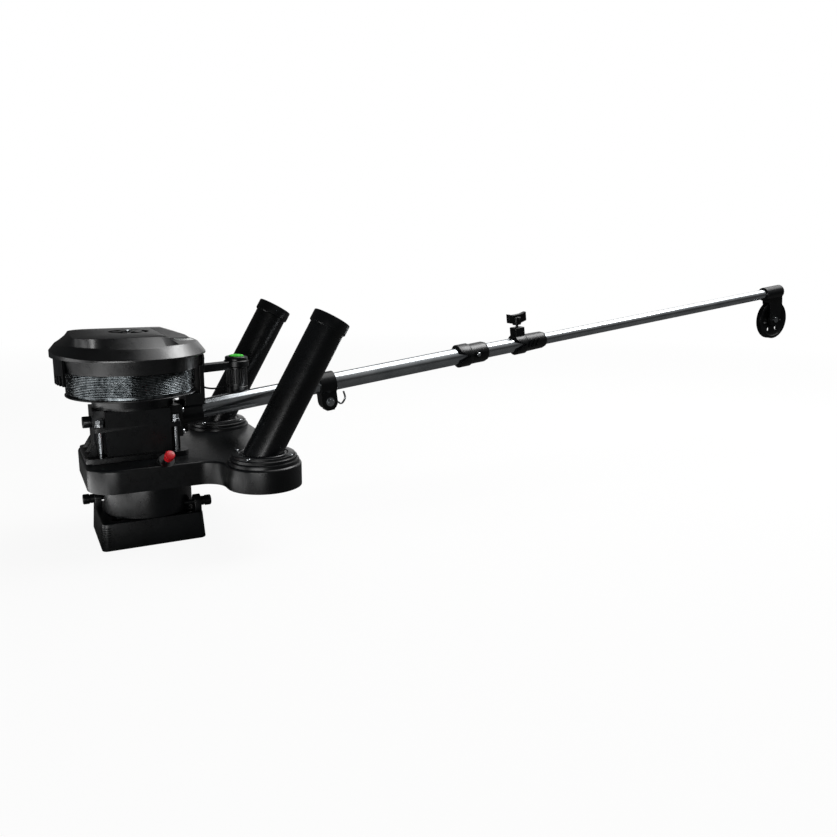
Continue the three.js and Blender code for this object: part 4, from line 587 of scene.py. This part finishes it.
def wireCurve(name, kind, points, radius, resolution, material):
    data = bpy.data.curves.new(name, "CURVE")
    data.dimensions = "3D"
    data.bevel_depth = radius * mm
    data.bevel_resolution = resolution
    data.use_fill_caps = True
    spline = data.splines.new(kind)
    spline.points.add(len(points) - 1)
    for point, spot in zip(spline.points, points):
        point.co = (*(value * mm for value in spot), 1)
    data.materials.append(material)
    return linked(name, data), data, spline


def makeLine(look):
    # one strand of wire rope, its ends bent square to the flanges
    bend, radius = look["bend"], look["radius"]
    start, end = look["bottom"] + look["wire"] + bend, look["top"] - look["wire"] - bend
    count = look["turns"] * look["steps"]
    turn = 2 * pi / look["steps"]
    route = [(i * turn, start + (end - start) * i / count) for i in range(count + 1)]
    span = bend / radius
    for i in range(1, look["bendSteps"] + 1):
        quarter = i * pi / 2 / look["bendSteps"]
        along, up = span * sin(quarter), bend * (1 - cos(quarter))
        route.insert(0, (-along, start - up))
        route.append((count * turn + along, end + up))
    route.insert(0, (-span, look["bottom"]))
    route.append((count * turn + span, look["top"]))
    points = [(spoolX + radius * cos(angle), radius * sin(angle), z) for angle, z in route]
    obj = wireCurve("lineOuterTurns", "POLY", points, look["wire"] / 2, 2, cableSteel)[0]
    finished(obj, "spool", "line_steel", "line_wound")


makeReel(reel)
makeLine(line)
for frameNode, frameEdge in (("reel_frame", 0.9), ("boom_socket", 0.9), ("cover_post", 1.0),
                             ("spool_guard", 0.5)):
    refined(frameNode, "turret", frameEdge)
for tie in range(1, 5):
    refined("tie_bolt_%d" % tie, "turret", 0.4, polishedStainless, "polished_stainless")
print("reel frame, spool and line made")

# top cover: its rings are half width, height, power (2 is a circle, and more draws it towards a
# square), and what the rear left side adds to the width and to the height
cover = {
    "wall": 2.6, "steps": 128, "rear": radians(155), "rearFade": 1.5,
    "outside": [(105, 279, 2, 0, 0), (108, 301, 2, 0, 0), (117, 301.3, 2, 0.6, 0),
                (117, 303.4, 2, 0.6, 8), (105.5, 318.6, 2.1, 4, 2), (101, 320.8, 2.3, 4, 2),
                (87, 334, 6, 0, 0), (84, 334.6, 6, 0, 0), (36, 336, 2, 0, 0)],
    "inside": [(102.4, 277, 2, 0, 0), (105, 303.6, 2, 0, 0), (99, 316, 2.2, 2, 2),
               (83, 331, 6, 0, 0), (36, 333, 2, 0, 0)],
    "slopeX": 44, "slopeTop": 335.4, "slopeLead": 8, "slopeEndX": 92, "slopeDrop": 6,
    "stepX": 48, "stepRunX": 34, "stepZ": 320.6, "stepY": 24, "stepRunY": 56,
    "beyondX": 130, "beyondY": 140, "beyondZ": 344, "well": (31, 270, 340, 96),
    "collar": [(31, 325.4), (36, 325.4), (36, 335.9), (31, 335.9)],
    "bezel": ((55, 87), (-22, 22), (314.6, 319.3)), "opening": ((58, 84), (-19, 19), (301, 336)),
    "seat": ((56.5, 85.5), (-20.5, 20.5), (317.6, 330)), "edge": 1.0, "sharpest": 20}


def drawnShell(look, rings):
    # a turned solid whose rings are drawn from circles towards squares
    bm = lathe([(0, rings[0][1])] + [ring[:2] for ring in rings] + [(0, rings[-1][1])], look["steps"])
    for vert in bm.verts:
        radius = hypot(vert.co.x, vert.co.y)
        if radius < 1:
            continue
        halfWidth, z, power, wider, higher = min(
            rings, key=lambda ring: abs(ring[1] - vert.co.z) + abs(ring[0] - radius))
        angle = atan2(vert.co.y, vert.co.x)
        across = (abs(cos(angle)) ** power + abs(sin(angle)) ** power) ** (1 / power)
        share = max(0, cos(angle - look["rear"])) ** look["rearFade"]
        scale = (halfWidth / across + wider * share) / radius
        vert.co = (vert.co.x * scale, vert.co.y * scale, z + higher * share)
    return bm


def windowTools(look, drop):
    # the crown falls away to the right, with a wider hollow for the window, and the inside's tools
    # are lowered by the wall
    start, beyond, side = look["slopeX"], look["beyondX"], look["beyondY"]
    low, high = look["stepZ"] - drop, look["beyondZ"] - drop
    outline = [(start - look["slopeLead"], high), (start, look["slopeTop"] - drop),
               (look["slopeEndX"], low), (beyond, low - look["slopeDrop"]), (beyond, high)]
    slope = moved(slab(outline, -side, side), raised)
    hollow = bmesh.new()
    left, far = look["stepX"], look["stepY"]
    leftTop, farTop = left - look["stepRunX"], far + look["stepRunY"]
    for x, y, z in ((left, far, low), (beyond, far, low), (leftTop, farTop, high),
                    (beyond, farTop, high)):
        hollow.verts.new((x, y, z))
        hollow.verts.new((x, -side, z))
    bmesh.ops.convex_hull(hollow, input=hollow.verts)
    return [slope, hollow]


def makeCover(look):
    middle = shift(spoolX)
    outside, inside = (
        carved(moved(drawnShell(look, look[rings]), middle), windowTools(look, drop))
        for rings, drop in (("outside", 0), ("inside", look["wall"])))
    shell = carved(outside, [inside, moved(rod(*look["well"]), middle)])
    shell = carved(shell, [moved(lathe(look["collar"]), middle)], "UNION")
    shell = carved(shell, [block(*look["bezel"])], "UNION")
    shell = carved(shell, [block(*look["opening"]), block(*look["seat"])])
    obj = toObject("coverMoulding", shell, coverBlack, look["sharpest"])
    finished(roundedEdges(obj, look["edge"], look["sharpest"]), "turret", "black_nylon", "top_cover")


knob = {
    "hub": [(6.3, 280.3), (20, 280.3), (20, 284), (11, 284), (11, 336.4), (10, 337), (6.3, 337)],
    "arms": 5, "reach": 21, "arm": 6, "bottom": 328, "top": 336, "edge": 1.4,
    "bore": (6.3, 270, 345, 48)}


def makeKnob(look):
    arm, reach, edge = look["arm"], look["reach"], look["edge"]
    shapes = []
    for i in range(look["arms"]):
        turn = turned(2 * pi * (i + 0.5) / look["arms"])
        bar = block((0, reach), (-arm, arm), (look["bottom"], look["top"]), edge)
        tip = moved(rod(arm, look["bottom"], look["top"], 48, edge), shift(reach))
        shapes += [moved(bar, turn), moved(tip, turn)]
    whole = carved(carved(lathe(look["hub"], 64), shapes, "UNION"), [rod(*look["bore"])])
    moulding("clutchKnobMoulding", moved(whole, shift(spoolX)), "clutch", "clutch_knob")


wheel = {"x": 71, "z": 303.5, "radius": 11, "bore": 2.5, "width": 9, "gap": 1, "edge": 0.4,
         "digit": 6.2, "raise": 0.08, "sunk": 0.02}


def makeDigit(look, value, middle):
    data = bpy.data.curves.new("digit", "FONT")
    data.body = str(value)
    data.size = look["digit"]
    data.align_x = data.align_y = "CENTER"
    data.extrude = look["raise"]
    text = linked("digit", data)
    flat = evaluated(text)
    bpy.data.objects.remove(text)
    digit = bmesh.new()
    digit.from_mesh(flat)
    bpy.data.meshes.remove(flat)
    turn = Matrix.Rotation(2 * pi * value / 10, 4, "Y")
    place = shift(look["x"], 0, look["z"]) @ turn @ shift(0, middle, look["radius"] - look["sunk"])
    return moved(digit, place @ turned(-pi / 2))


def makeWheels(look):
    radius, bore, edge, pitch = look["radius"], look["bore"], look["edge"], look["width"] + look["gap"]
    half = (3 * look["width"] + 2 * look["gap"]) / 2
    for i, name in enumerate(("units", "tens", "hundreds")):
        low = -half + i * pitch
        high = low + look["width"]
        body = lathe([(bore, low), (radius - edge, low), (radius, low + edge), (radius, high - edge),
                      (radius - edge, high), (bore, high)], 80)
        obj = toObject("numberWheel_" + name, moved(body, alongY, shift(look["x"], 0, look["z"])),
                       whiteAcetal)
        finished(obj, "wheel_" + name, "white_acetal", "number_wheel_" + name)
        digits = merged(*[makeDigit(look, value, (low + high) / 2) for value in range(10)])
        finished(toObject("digits_" + name, digits, inkBlack), "wheel_" + name, "black_nylon")


makeCover(cover)
makeKnob(knob)
makeWheels(wheel)
print("cover, knob and number wheels made")

# plunger, along its own slanted line: the red pull knob, the housing and the spring
pull = {
    "knob": [(0, -10.4), (6.4, -10.4), (6.4, -5.2), (6.2, -4.2), (7.8, -2.6), (7.8, 2),
             (7.1, 3.5), (5.6, 4.2), (0, 4.2)],
    "grooves": 12, "groove": (1.4, -1.2, 7.2, 20), "grooveOut": 8.268,
    "housing": [(4.5, -46), (8.5, -46), (8.5, -19.7), (11.6, -19.7), (12, -19.3), (12, -17.1),
                (11.6, -16.7), (4.5, -16.7), (4.5, -22.7), (6.6, -22.7), (6.6, -43), (4.5, -43)],
    "springSeat": -23, "springKeep": 0.42}


def around(shape, args, radius, count, first=0.0, step=None):
    # the same shape at each angle of a circle
    angles = [first + i * (step or 2 * pi / count) for i in range(count)]
    return [moved(shape(*args), shift(radius * cos(a), radius * sin(a))) for a in angles]


def makePlunger(look):
    place = onPlunger(plunger)
    count = look["grooves"]
    grooves = around(rod, look["groove"], look["grooveOut"], count, pi / count)
    obj = toObject("pullKnobMoulding", moved(carved(lathe(look["knob"]), grooves), place), redNylon, 30)
    finished(obj, "plunger", "red_plastic", "pull_knob")
    moulding("plungerHousingMoulding", moved(lathe(look["housing"], 72), place), "turret",
             "plunger_housing")
    # the CAD spring
    wire = fromMesh(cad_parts["plunger_spring"].data, 0.002)
    obj = toObject("plungerSpringWire", wire, wheelSteel, 80)
    finished(obj, "turret", "polished_stainless", "plunger_spring")
    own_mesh(obj)


inlet = {
    "x": -80.3, "z": 195, "contactY": (-3, 3),
    "body": [(0, 0), (9.3, 0), (9.3, 10.4), (8.9, 11), (9.3, 11.4), (9.3, 12), (8.6, 12.7),
             (7.2, 12.7), (6.5, 12), (6.5, 3.2), (0, 3.2)],
    "contact": [(0, 2), (1.3, 2), (1.3, 9.6), (0.7, 10.4), (0, 10.4)]}


def makeInlet(look):
    place = shift(look["x"], 0, look["z"]) @ turned(pi) @ alongX
    moulding("powerInletMoulding", moved(lathe(look["body"], 64), place), "turret", "power_inlet")
    contacts = [moved(lathe(look["contact"], 24), shift(0, y)) for y in look["contactY"]]
    obj = toObject("inletContacts", moved(merged(*contacts), place), brass)
    finished(obj, "turret", "brass")


makePlunger(pull)
makeInlet(inlet)

# switch pod, in its own place: body, ridges for the fingers, arm to the reel, bezel and button
pod = {
    "x": 167, "y": 42,
    "body": [(0, 212), (16, 212), (18, 214), (18, 230), (17.3, 230.7), (17.3, 232), (18, 232.7),
             (18, 264), (21.5, 266), (21.5, 275), (20.5, 276), (16, 276), (16, 268), (0, 268)],
    "ridges": 10, "ridge": ((-0.9, 0.9), (-0.9, 0.9), (236, 262), 0.5), "ridgeOut": 18.1,
    "ridgeStep": 12,
    "arm": [(-70.1, -34), (0, -9), (0, 9), (-70.1, -16)], "armZ": (261, 275), "armEdge": 1.5,
    "armFoot": ((-70.1, -66.1), (-34, -16), (252, 275), 0.8), "well": (16, 268, 280, 96),
    "bezel": [(13.5, 276.3), (19.5, 276.3), (19.5, 281.2), (18.9, 282.2), (17.6, 283),
              (14.3, 283), (13.5, 282.4)],
    "button": [(0, 273.2), (15.2, 273.2), (15.2, 275.7), (13, 275.7), (13, 283.2), (12.4, 284.4),
               (9.8, 285.2), (8.6, 285.4), (8.2, 285.1), (7.6, 285.1), (7.2, 285.6), (4, 285.9),
               (0, 286)]}


def makePod(look):
    place = shift(look["x"], look["y"])
    ridges = around(block, look["ridge"], look["ridgeOut"], look["ridges"], pi,
                    radians(look["ridgeStep"]))
    arm = carved(slab(look["arm"], *look["armZ"], None, look["armEdge"]), [rod(*look["well"])])
    whole = merged(lathe(look["body"]), *ridges, arm, block(*look["armFoot"]))
    moulding("switchPodMoulding", moved(whole, place), "turret", "switch_pod")
    moulding("podBezelMoulding", moved(lathe(look["bezel"]), place), "turret", "pod_bezel")
    obj = toObject("pushButtonMoulding", moved(lathe(look["button"]), place), greenRubber)
    finished(obj, "button", "green_rubber", "push_button")


lead = {"radius": 1.6, "route": [(95.6, 34, 238), (99, 34, 238), (106, 34.5, 233), (116, 36.5, 229.5),
                                 (127, 39, 228), (137, 41, 229), (144, 42, 230), (148.4, 42, 230)]}


def bentWire(name, look, material, place=None):
    route = [(place or Matrix()) @ Vector(spot) for spot in look["route"]]
    obj, data, spline = wireCurve(name, "NURBS", route, look["radius"], 4, material)
    data.resolution_u = 8
    spline.use_endpoint_u = True
    spline.order_u = 3
    return obj


makePod(pod)
finished(bentWire("switchLeadSleeve", lead, blackRubber), "turret", "black_rubber", "switch_lead")
print("plunger, inlet and switch pod made")

# boom, in its own frame with x along it: a tube is radius, wall, start and end, and a collar is
# start, end, radius, radius at the nose, bore and bore at the nose
boom = {
    "base": (16, 1.2, -175, 490), "middle": (14.5, 1.6, -10, 633), "tip": (11.5, 1.5, 540, 1352),
    "chamfer": 0.3, "baseCollar": (439.4, 505, 22.5, 17.5, 16.3, 14.8),
    "tipCollar": (572.6, 648, 20.5, 14.5, 14.8, 11.8), "buttonX": 477.4,
    "buttonHole": (4.5, -45, 0, 48), "besideHole": 12,
    "buttonRing": [(4.5, -22.6), (6.6, -22.6), (6.6, -19), (4.5, -19)],
    "button": [(0, -18.1), (4, -18.1), (4, -23.2), (3.2, -24), (0, -24)],
    "boss": ((574.6, 596.6), (-11, 11), (14.7, 35), 1.4), "bossBore": (14.8, 560, 620, 48),
    "screwX": 585.6, "screwHole": (3.5, 10, 40, 32), "ribX": (602, 612, 622),
    "rib": ((-1.2, 1.2), (-2.2, 2.2), (-9, 9), 0.6), "ribLean": radians(28),
    "ribY": 19.2, "ribFrom": 596, "ribTaper": 0.09}
# how a collar's profile stands off its radius and start, then off its nose and end
collar = {
    "body": [(-0.8, 0), (0, 0.8), (0, 23), (-0.6, 24), (-2.5, 27.8)],
    "nose": [(2.6, -7.6), (0.4, -1), (-0.4, 0)], "step": 14.7,
    "notch": [(-2, -13), (20, 0), (-2, 13)], "notchHalf": 50}


def makeTube(look, name, size, body, node, button=None):
    radius, wall, start, end = look[size]
    inner, chamfer = radius - wall, look["chamfer"]
    # rings beside the lock button's hole keep the hole's cut from reaching along the tube
    rings = [button - look["besideHole"], button + look["besideHole"]] if button else []
    profile = [(inner, start), (radius - chamfer, start), (radius, start + chamfer)]
    profile += [(radius, x) for x in rings]
    profile += [(radius, end - chamfer), (radius - chamfer, end), (inner, end)]
    profile += [(inner, x) for x in reversed(rings)]
    shape = moved(lathe(profile), alongX)
    if button:
        shape = carved(shape, [moved(rod(*look["buttonHole"]), alongY, shift(button))])
    obj = toObject(name, moved(shape, boomFrame), polishedStainless)
    finished(obj, body, "polished_stainless", node)


def makeCollar(look, size):
    start, end, radius, nose, bore, innerBore = size
    step = end - look["step"]
    profile = [(bore, start)] + [(radius + wide, start + x) for wide, x in look["body"]]
    profile += [(nose + wide, end + x) for wide, x in look["nose"]]
    profile += [(innerBore, end), (innerBore, step), (bore, step)]
    notch = slab([(start + x, z) for x, z in look["notch"]], -look["notchHalf"], look["notchHalf"])
    return carved(moved(lathe(profile), alongX), [moved(notch, raised)])


def makeBoom(look):
    atButton = shift(look["buttonX"])
    makeTube(look, "boomTubeBase", "base", "turret", "boom_base_tube", look["buttonX"])
    makeTube(look, "boomTubeMiddle", "middle", "boom_middle", "boom_mid_tube")
    makeTube(look, "boomTubeTip", "tip", "boom_tip", "boom_tip_tube")
    hole = moved(rod(*look["buttonHole"]), alongY, atButton)
    ring = moved(lathe(look["buttonRing"], 48), alongY, atButton)
    shape = merged(carved(makeCollar(collar, look["baseCollar"]), [hole]), ring)
    moulding("baseCollarMoulding", moved(shape, boomFrame), "turret", "base_collar")
    button = moved(lathe(look["button"], 48), alongY, atButton)
    obj = toObject("lockButtonTurned", moved(button, boomFrame), wheelSteel)
    finished(obj, "boom_lock", "polished_stainless", "lock_button")
    boss = carved(block(*look["boss"]), [moved(rod(*look["bossBore"]), alongX)])
    boss = carved(boss, [moved(rod(*look["screwHole"]), shift(look["screwX"]))])
    lean = Matrix.Rotation(look["ribLean"], 4, "Y")
    ribs = []
    for side in (-1, 1):
        for x in look["ribX"]:
            y = side * (look["ribY"] - (x - look["ribFrom"]) * look["ribTaper"])
            ribs.append(moved(block(*look["rib"]), lean, shift(x, y)))
    shape = merged(makeCollar(collar, look["tipCollar"]), boss, *ribs)
    moulding("tipCollarMoulding", moved(shape, boomFrame), "boom_middle", "tip_collar")


makeBoom(boom)
refined("t_knob", "boom_screw", 1.6, angle=25)
refined("hook_clamp", "turret", 1.0)
refined("clamp_bolt", "turret", 0.4, wheelSteel, "polished_stainless")
refined("tip_bracket", "tip_head", 0.9)
refined("sheave_axle", "tip_head", 0.5, wheelSteel, "polished_stainless")

hook = {"radius": 1.8, "route": [(178.3, 0, -36.5), (182, 0, -38.2), (187, 0, -43.5), (192, 0, -41.7),
                                 (197.3, 0, -34.8), (197.3, 0, -29.5), (195.5, 0, -21.5)]}
finished(bentWire("hookWire", hook, polishedStainless, boomFrame), "turret", "polished_stainless",
         "clamp_hook")

# the sheave's right half, from the bore out to the rim and down into the groove
pulley = {
    "x": 1338, "drop": 66, "holes": 6, "hole": (6.2, -10, 10, 40), "holeOut": 25.5,
    "half": [(4.5, 7), (11.4, 7), (12, 6.5), (15, 3.8), (35.6, 3.6), (38.6, 5.4), (40, 6.8),
             (44.8, 7), (45.6, 6.4), (45.6, 5.4), (38.6, 1.4), (38, 0.6)]}


def makeSheave(look):
    profile = look["half"] + [(radius, -height) for radius, height in reversed(look["half"])]
    holes = around(rod, look["hole"], look["holeOut"], look["holes"])
    place = boomFrame @ shift(look["x"], 0, -look["drop"]) @ alongY
    moulding("sheaveMoulding", moved(carved(lathe(profile, 128), holes), place), "sheave", "sheave")


makeSheave(pulley)
print("boom made")

# pan head screws: the head's profile and the cross are shares of the screw's radius and height
screw = {
    "head": [(0, 0), (1, 0), (1, 0.5), (0.82, 0.9), (0.5, 1), (0, 1)], "crossReach": 0.6,
    "crossHalf": 0.35, "crossDeep": 0.9,
    "ring": (3.0, 1.8), "rings": 4, "ringOut": 47.4, "ringSunk": 0.9,
    "podArm": (4, 2.4), "podArmAt": [(96.7, y, 289) for y in (-14, 14)],
    "socket": (5, 3.4), "socketAt": [(56.3, y, z) for y in (-25, 25) for z in (172, 208)]}


def panHead(look, radius, height):
    head = lathe([(radius * wide, height * high) for wide, high in look["head"]], 48)
    reach, half = radius * look["crossReach"], look["crossHalf"]
    deep = (height - look["crossDeep"], height + 1)
    return carved(head, [block((-reach, reach), (-half, half), deep),
                         block((-half, half), (-reach, reach), deep)])


def makeScrews(look):
    shapes = []
    for side in (-1, 1):
        place = shift(holder["x"], side * holder["y"], holder["ringTop"] - look["ringSunk"])
        ring = around(panHead, (look, *look["ring"]), look["ringOut"], look["rings"], pi / 4)
        shapes += [moved(head, place) for head in ring]
    for kind in ("podArm", "socket"):
        shapes += [moved(panHead(look, *look[kind]), shift(*spot) @ alongX)
                   for spot in look[kind + "At"]]
    finished(toObject("smallScrews", merged(*shapes), wheelSteel), "turret", "polished_stainless")


makeScrews(screw)

# nodes that keep their CAD shape
kept = (
    (zincSteel, ("swivel_bolt", "swivel_nut", "motor_can", "motor_pinion", "lower_bearing",
                 "upper_bearing")),
    (wheelSteel, ("plunger_pin", "spool_shaft")), (mouldedBlack, ("motor_end_cap", "counter_cradle")),
    (brass, ("drive_gear",)), (cork, ("brake_disc",)), (clearPane, ("counter_window",)))
for keptMaterial, keptNames in kept:
    for keptName in keptNames:
        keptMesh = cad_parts[keptName].data
        keptMesh.materials.clear()
        keptMesh.materials.append(keptMaterial)
print("fasteners made, kept nodes dressed")

# floor and backdrop: each band of the room is where it starts and ends and its value at both
stageLook = {
    "floor": 0xf2f2f0, "floorInRoom": 0x2a2a2a, "floorHalf": 14, "floorZ": -0.0006,
    "floorRough": 0.9, "fadeAbout": (0.6, 0, 0), "fadeFrom": 1.6, "fadeTo": 3.2,
    "share": 0.93, "inMetal": 0.02, "room": 0.04, "backdrop": 0.9, "overhead": 0.4,
    "lean": -0.45, "behind": (0.1, 0.4, 0.0, 1.0), "low": (0.05, 0.2, 1.0, 0.0),
    "ceiling": (0.15, 0.95, 0.0, 1.0), "right": (0.1, 0.35, 0.0, 1.0),
    "besideReel": (0.06, 0.22, 0.0, 1.0)}


def rayKinds(tree):
    # one for what the camera sees itself, one for what metal and clear parts show it
    seen = addNode(tree, "LightPath")
    shown = addNode(tree, "Math", operation="MAXIMUM",
                    links={0: seen.outputs["Is Glossy Ray"], 1: seen.outputs["Is Transmission Ray"]})
    return seen.outputs["Is Camera Ray"], shown.outputs[0]


def makeFloor(look):
    bm = bmesh.new()
    bmesh.ops.create_grid(bm, x_segments=1, y_segments=1, size=look["floorHalf"])
    bmesh.ops.translate(bm, vec=(0, 0, look["floorZ"]), verts=bm.verts)
    mesh = bpy.data.meshes.new("floor")
    bm.to_mesh(mesh)
    bm.free()
    floor = linked("floor", mesh)
    material, tree, shader = newMaterial("pale paper floor")  # matt white, dim where metal shows it
    camera, shown = rayKinds(tree)
    paper = addNode(tree, "Mix", {"A": linearColour(look["floorInRoom"]),
                                            "B": linearColour(look["floor"])},
                    {"Factor": camera}, data_type="RGBA")
    tree.links.new(paper.outputs["Result"], shader.inputs["Base Color"])
    shader.inputs["Roughness"].default_value = look["floorRough"]
    # the paper's own glow is full far from the object, so that no edge shows at the backdrop
    place = addNode(tree, "TexCoord").outputs["Object"]
    away = addNode(tree, "VectorMath", {1: look["fadeAbout"]}, {0: place},
                   operation="DISTANCE")
    fade = addNode(tree, "MapRange",
                   {1: look["fadeFrom"], 2: look["fadeTo"], 3: look["share"], 4: 1.0},
                   {0: away.outputs["Value"]})
    inMetal = addNode(tree, "Mix", {"A": 0.0, "B": look["inMetal"]}, {"Factor": shown})
    share = addNode(tree, "Mix", links={
        "Factor": camera, "A": inMetal.outputs["Result"], "B": fade.outputs[0]})
    glow = addNode(tree, "Emission", {"Color": (1, 1, 1, 1), "Strength": 1})
    mix = addNode(tree, "MixShader", links={
        0: share.outputs["Result"], 1: shader.outputs[0], 2: glow.outputs[0]})
    tree.links.new(mix.outputs[0], tree.nodes["Material Output"].inputs["Surface"])
    mesh.materials.append(material)


def makeWorld(look):
    world = bpy.data.worlds.new("studio")
    bpy.context.scene.world = world
    world.use_nodes = True
    tree = world.node_tree
    camera, shown = rayKinds(tree)
    # the white backdrop stands low behind the object and beside the reel, the ceiling over the boom
    # is a grey that fades downwards, and the rest of the room is dim
    way = addNode(tree, "TexCoord").outputs["Generated"]
    way = addNode(tree, "SeparateXYZ", links={0: way}).outputs
    leaning = addNode(tree, "Math", {1: look["lean"]}, {0: way["X"], 2: way["Z"]},
                      operation="MULTIPLY_ADD").outputs[0]
    sources = {"behind": way["Y"], "low": leaning, "besideReel": way["X"], "ceiling": way["Z"],
               "right": way["X"]}
    shares = []
    for names in (("behind", "low", "besideReel"), ("ceiling", "right")):
        bands = [addNode(tree, "MapRange", dict(enumerate(look[name], 1)), {0: sources[name]})
                 for name in names]
        share = bands[0].outputs[0]
        for band in bands[1:]:
            share = addNode(tree, "Math", links={0: share, 1: band.outputs[0]},
                            operation="MULTIPLY").outputs[0]
        shares.append(share)
    sheet, ceiling = shares
    overhead = addNode(tree, "Mix", {"A": look["room"], "B": look["overhead"]}, {"Factor": ceiling})
    metalView = addNode(tree, "Mix", {"B": look["backdrop"]},
                        {"Factor": sheet, "A": overhead.outputs["Result"]})
    unseen = addNode(tree, "Mix", {"A": look["room"]},
                     {"Factor": shown, "B": metalView.outputs["Result"]})
    level = addNode(tree, "Mix", {"B": 1.0}, {"Factor": camera, "A": unseen.outputs["Result"]})
    background = tree.nodes["Background"]
    background.inputs["Color"].default_value = (1, 1, 1, 1)
    tree.links.new(level.outputs["Result"], background.inputs["Strength"])


# each lamp is its place, what it aims at, its size and its power
lamps = {
    "overheadBox": ((1.95, 0.3, 2.1), (1.95, 0.15, 0), (3.2, 2.2), 52),
    "leftBox": ((-1.7, 0.05, 0.2), (0, 0, 0.2), (1.1, 0.4), 3),
    "frontBox": ((-0.85, -1.47, 0.2), (0, 0, 0.25), (1.2, 0.4), 9),
    "lowBox": ((-0.47, -0.05, 0.004), (-0.47, -0.05, 1), (0.34, 0.8), 3),
    "rightBox": ((1.8, -0.1, 1.95), (0, -0.1, 0.3), (1.2, 0.9), 26)}


def makeLamp(name, place, aim, size, power):
    data = bpy.data.lights.new(name, "AREA")
    data.shape = "RECTANGLE"
    data.size, data.size_y = size
    data.energy = power
    lamp = linked(name, data)
    lamp.location = place
    lamp.rotation_euler = (Vector(aim) - Vector(place)).to_track_quat("-Z", "Y").to_euler()


makeFloor(stageLook)
makeWorld(stageLook)
for lampName, lampLook in lamps.items():
    makeLamp(lampName, *lampLook)

bpy.context.scene.view_settings.view_transform = "Standard"
bpy.context.view_layer.update()
print("stage and light made")
